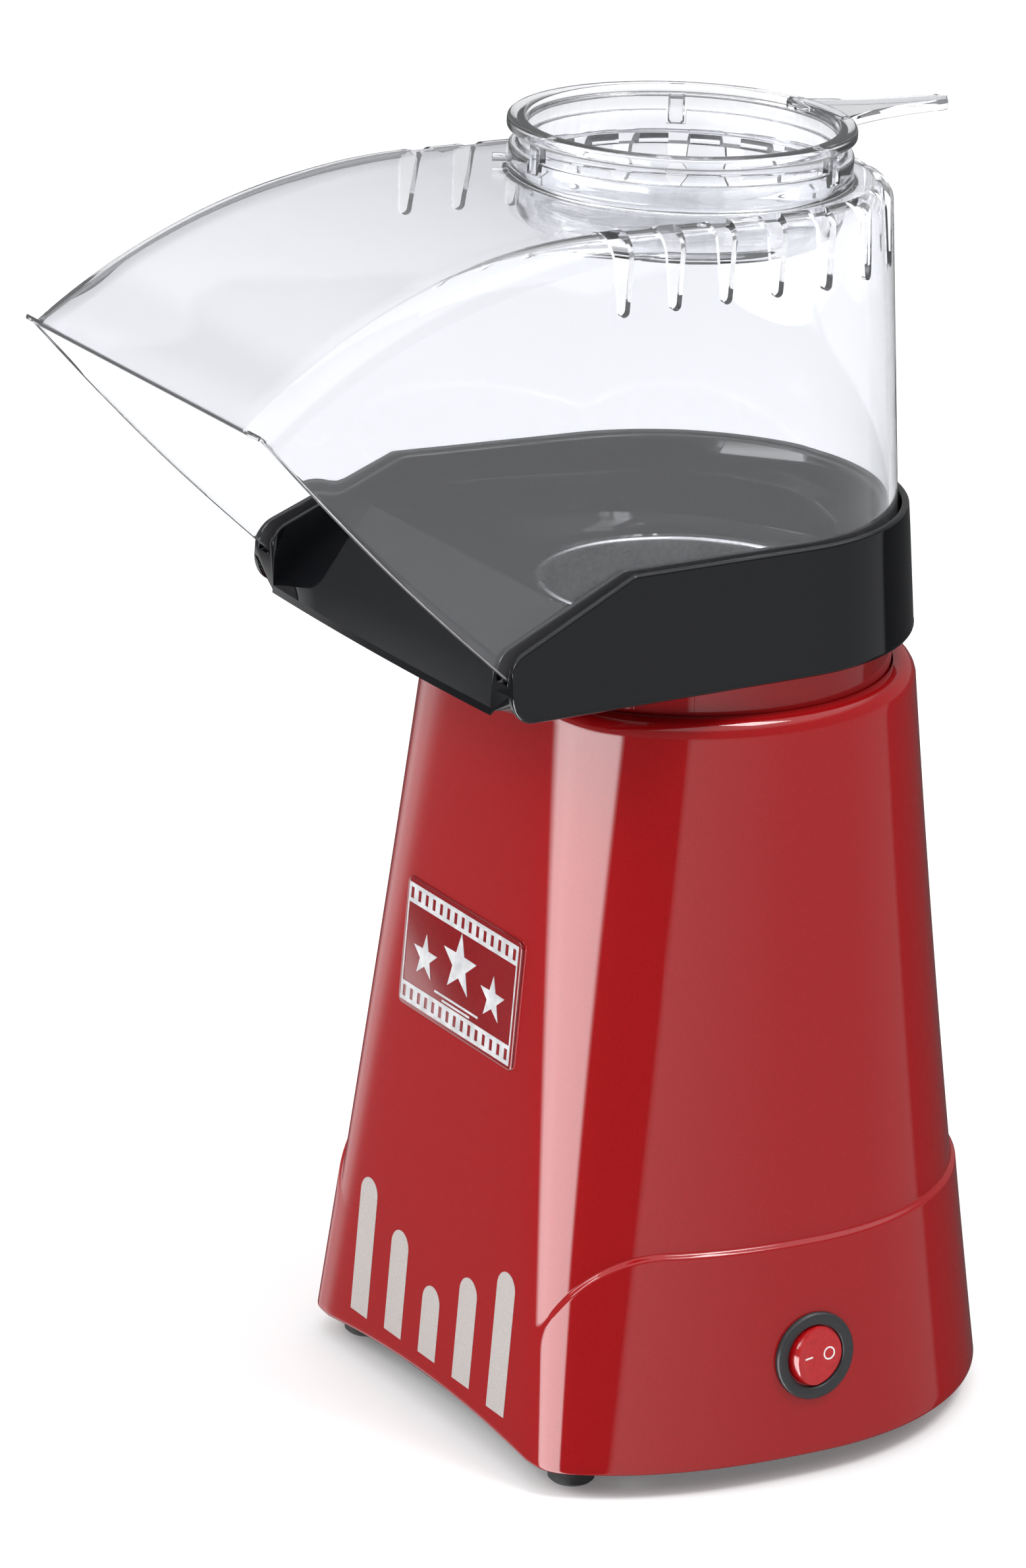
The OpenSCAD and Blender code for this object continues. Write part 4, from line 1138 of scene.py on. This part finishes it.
def add_rib(bm, turn):
    """Adds one of the ribs that carry the cup in the collar's notches."""
    low, high = COLLAR_Z - NOTCH_D + 0.2, RIM_Z - FLANGE_T + 0.1
    rows = []
    for z, w in ((low, 0.75), (low + 0.6, 1.0), (high, 1.0)):
        half = RIB_W / 2 * w
        corners = ((CUP_R - 0.3, -half), (RIM_R - 1.2, -half), (RIM_R - 0.7, -half + 0.5),
                   (RIM_R - 0.7, half - 0.5), (RIM_R - 1.2, half), (CUP_R - 0.3, half))
        rows.append([outward(turn, r, t, z) for r, t in corners])
    add_capped(bm, rows)


def add_handle(bm):
    """A tongue that tapers to a round tip, its edges turned down."""
    tip, root = HANDLE_TIP, HANDLE_ROOT
    rows = []
    for t in steps(28):
        y = mix(CUP_R - 1.2, HANDLE_REACH, t)
        half = tip + (root - tip) * (1 - t) ** 2.2
        if y > HANDLE_REACH - tip:
            half = math.sqrt(max(0.02, tip ** 2 - (y - HANDLE_REACH + tip) ** 2))
        z = RIM_Z - 0.5
        lip = min(0.9, half * 0.4)
        low, web = -HANDLE_T, -HANDLE_T / 2
        section = ((-half, low), (-half, -0.5), (-half + 0.4, 0), (half - 0.4, 0), (half, -0.5),
                   (half, low), (half - lip, low), (half - lip, web), (-half + lip, web),
                   (-half + lip, low))
        rows.append([(x, y, z + d) for x, d in section])
    add_capped(bm, rows)


# ---- switch
BEZEL_R = 11.5
OPENING_R = 8.25
ROCKER_R = 8.05
TILT = math.radians(10)
rocker_joint = next(j for j in frame["joints"] if j["name"] == "rocker_turn")
PIVOT = Vector(rocker_joint["pos_m"])
UP = Vector(rocker_joint["axis"]).normalized()
ALONG = Vector((0, 1, 0))
OUT = ALONG.cross(UP).normalized()
PIVOT_DEPTH = 1.0
MARK_LIFT = 0.06
RING_AT = 3.6
RING_R = (1.35, 1.75)
DASH_AT = -3.3
DASH = (2.9, 0.42)


def on_switch(out, along, up):
    """A point in the switch's frame, whose origin is on the wall's seat."""
    return PIVOT + (OUT * (out + PIVOT_DEPTH) + ALONG * along + UP * up) * MM


def on_rocker(out, along, up):
    """A point in the rocker's own frame, turned to its rest position about the pivot."""
    turned_out = out * math.cos(TILT) - along * math.sin(TILT)
    turned_along = out * math.sin(TILT) + along * math.cos(TILT)
    return PIVOT + (OUT * turned_out + ALONG * turned_along + UP * up) * MM


def build_bezel():
    profile = [(OPENING_R, -1.0), (OPENING_R, 1.6)] + arc(OPENING_R + 0.5, 1.6, 0.5, 180, 90, 4)
    profile += [(OPENING_R + 1.6, 2.3)] + arc(BEZEL_R - 1.0, 1.3, 1.0, 90, 0, 6)
    profile += [(BEZEL_R, 0.2), (BEZEL_R - 0.4, -0.2), (BEZEL_R - 0.4, -1.0)]
    bm = bmesh.new()
    add_turned(bm, profile, count=120, place=lambda x, y, z: on_switch(z, x, y))
    finish_mesh(bm, "bezel", "root", "black_matte", ["switch_bezel"])


def rocker_face(along):
    """Height of the rocker's slightly hollow face."""
    return 3.1 + 1.1 * (abs(along) / 8) ** 2


def rocker_outline(out, share=1.0, count=96):
    """The rocker's outline at a height, drawn in so that it clears the opening when it tips."""
    points = []
    for i in range(count):
        a = 2 * math.pi * i / count
        along = (abs(ROCKER_R * math.cos(a)) - max(0, out) * math.sin(TILT)) / math.cos(TILT)
        along = math.copysign(max(0.0, along), math.cos(a))
        points.append((along * share, ROCKER_R * math.sin(a) * share * 0.99))
    return points


def build_rocker():
    """The round rocker with a dash and a ring as thin inlays."""
    bm = bmesh.new()
    rows = [[(-2.0 if abs(p[0]) > 3 else -4.0, *p) for p in rocker_outline(0, 0.9)]]
    rows.append([(0.0, *p) for p in rocker_outline(0, 1.0)])
    for t in (0.4, 0.8):
        rows.append([(rocker_face(p[0]) * t, *p) for p in rocker_outline(3.4 * t)])
    for drop, share in ((0.45, 1.0), (0.13, 0.985), (0.0, 0.95)):
        rows.append([(rocker_face(p[0]) - drop, *p) for p in rocker_outline(3.6, share)])
    for share in (0.8, 0.6, 0.4, 0.2, 0.02):
        rows.append([(rocker_face(p[0]), *p) for p in rocker_outline(3.6, share)])
    add_capped(bm, rows, on_rocker)
    finish_mesh(bm, "rocker", "rocker", "rocker_red", ["switch_rocker"])
    bm = bmesh.new()
    rows = []
    inner, outer = RING_R
    for r, lift in ((inner, -0.1), (inner, MARK_LIFT), (outer, MARK_LIFT), (outer, -0.1)):
        ring = [(RING_AT + r * math.cos(a), r * math.sin(a))
                for a in (2 * math.pi * i / 48 for i in range(48))]
        rows.append([(rocker_face(along) + lift, along, up) for along, up in ring])
    add_grid(bm, rows, along=True, place=on_rocker)
    dash = [(u + DASH_AT, v) for u, v in rounded_outline(*DASH, 0.2)]
    rows = [[(rocker_face(u) + lift, u, v) for u, v in dash] for lift in (-0.1, MARK_LIFT)]
    add_capped(bm, rows, on_rocker)
    finish_mesh(bm, "rocker_marks", "rocker", "rocker_red", material=mark_white())


# ---- camera, floor and light
CAMERA_AT = Vector((1.4039, -0.8641, 0.7188))
CAMERA_AZIMUTH = math.radians(58.79)
CAMERA_ELEVATION = math.radians(18.52)
CAMERA_ROLL = math.radians(2.32)


def build_camera():
    data = bpy.data.cameras.new("camera")
    data.lens, data.sensor_width, data.sensor_fit = 157.0, 36.0, "AUTO"
    data.clip_start, data.clip_end = 0.05, 60
    camera = bpy.data.objects.new("camera", data)
    bpy.context.scene.collection.objects.link(camera)
    a, e = CAMERA_AZIMUTH, CAMERA_ELEVATION
    level = Vector((math.cos(a), math.sin(a), 0))
    back = Vector((math.sin(a) * math.cos(e), -math.cos(a) * math.cos(e), math.sin(e)))
    above = back.cross(level)
    right = level * math.cos(CAMERA_ROLL) + above * math.sin(CAMERA_ROLL)
    up = above * math.cos(CAMERA_ROLL) - level * math.sin(CAMERA_ROLL)
    turn = Matrix((right, up, back)).transposed()
    camera.matrix_world = Matrix.Translation(CAMERA_AT) @ turn.to_4x4()
    bpy.context.scene.camera = camera


def build_floor():
    """A wide pale floor that the object does not mirror."""
    bm = bmesh.new()
    bmesh.ops.create_circle(bm, cap_ends=True, segments=96, radius=14)
    mesh = bpy.data.meshes.new("floor")
    bm.to_mesh(mesh)
    bm.free()
    mesh.materials.append(floor_paint())
    floor = bpy.data.objects.new("floor", mesh)
    bpy.context.scene.collection.objects.link(floor)
    floor.visible_glossy = False


def softbox(name, azimuth, elevation, distance, size, power, aim=(0, 0, 0.16)):
    """A rectangular light that looks at the object; azimuth is counted as for views."""
    data = bpy.data.lights.new(name, "AREA")
    data.shape, data.size, data.size_y, data.energy = "RECTANGLE", size[0], size[1], power
    light = bpy.data.objects.new(name, data)
    bpy.context.scene.collection.objects.link(light)
    a, e = math.radians(azimuth), math.radians(elevation)
    out = Vector((math.sin(a) * math.cos(e), -math.cos(a) * math.cos(e), math.sin(e)))
    light.location = Vector(aim) + out * distance
    light.rotation_euler = out.to_track_quat("Z", "Y").to_euler()


# Brightness of the surroundings just under the horizon, by azimuth in degrees: what the
# upright walls mirror. A wide bright panel faces the front right corner.
HORIZON = [(-180, 0.06), (-96, 0.1), (-80, 1.3), (-67, 1.1), (-61, 0.25), (-56, 0.12), (-37, 0.15),
           (-29, 7.5), (-15, 9), (20, 9), (36, 8.6), (38.5, 0.12), (69, 0.12), (71, 1.15),
           (92, 0.9), (116, 0.6), (150, 0.42), (177, 0.4), (180, 0.06)]
PANEL = 10
SKY_LOW = 0.28
SKY_HIGH = 1.38


def build_sky():
    """Even light from above and soft panels along the horizon."""
    sky = bpy.data.worlds.new("studio")
    bpy.context.scene.world = sky
    sky.use_nodes = True
    nodes, links = sky.node_tree.nodes, sky.node_tree.links
    where = nodes.new("ShaderNodeTexCoord")
    parts = nodes.new("ShaderNodeSeparateXYZ")
    links.new(where.outputs["Generated"], parts.inputs["Vector"])

    def math_node(operation, first, second):
        node = nodes.new("ShaderNodeMath")
        node.operation = operation
        for socket, value in zip(node.inputs, (first, second)):
            if isinstance(value, (int, float)):
                socket.default_value = value
            else:
                links.new(value, socket)
        return node.outputs["Value"]

    front = math_node("MULTIPLY", parts.outputs["Y"], -1)
    turn = math_node("ARCTAN2", parts.outputs["X"], front)
    share = math_node("MULTIPLY_ADD", turn, 1 / (2 * math.pi))
    share.node.inputs[2].default_value = 0.5
    ramp = nodes.new("ShaderNodeValToRGB")
    links.new(share, ramp.inputs["Fac"])
    elements = ramp.color_ramp.elements
    elements.remove(elements[1])
    for k, (azimuth, level) in enumerate(HORIZON):
        place = (azimuth + 180) / 360
        element = elements[0] if k == 0 else elements.new(place)
        element.position = place
        element.color = (level / PANEL, level / PANEL, level / PANEL, 1)
    low = math_node("MULTIPLY", ramp.outputs["Color"], PANEL)
    rise = nodes.new("ShaderNodeMapRange")
    rise.inputs["From Min"].default_value = -0.03
    rise.inputs["From Max"].default_value = 0.04
    links.new(parts.outputs["Z"], rise.inputs["Value"])
    height = nodes.new("ShaderNodeMapRange")
    height.interpolation_type = "SMOOTHSTEP"
    height.inputs["From Min"].default_value = 0.5
    height.inputs["From Max"].default_value = 0.7
    height.inputs["To Min"].default_value = SKY_LOW
    height.inputs["To Max"].default_value = SKY_HIGH
    links.new(parts.outputs["Z"], height.inputs["Value"])
    above = math_node("MULTIPLY", rise.outputs["Result"], height.outputs["Result"])
    left = math_node("SUBTRACT", 1, rise.outputs["Result"])
    below = math_node("MULTIPLY", left, low)
    total = math_node("ADD", above, below)
    links.new(total, nodes["Background"].inputs["Strength"])
    nodes["Background"].inputs["Color"].default_value = (0.98, 0.99, 1.0, 1)


def build_light():
    build_sky()
    softbox("key", 128, 62, 1.6, (0.5, 0.5), 12)
    softbox("fill", -20, 35, 1.8, (1.0, 0.8), 15)
    bpy.context.scene.view_settings.view_transform = "Standard"


def main():
    build_camera()
    finish_frame()
    build_body()
    build_neck()
    build_stripes()
    build_badge()
    build_tray()
    build_chamber_rim()
    build_hood()
    build_collar_pin()
    build_cup()
    build_bezel()
    build_rocker()
    build_floor()
    build_light()


main()
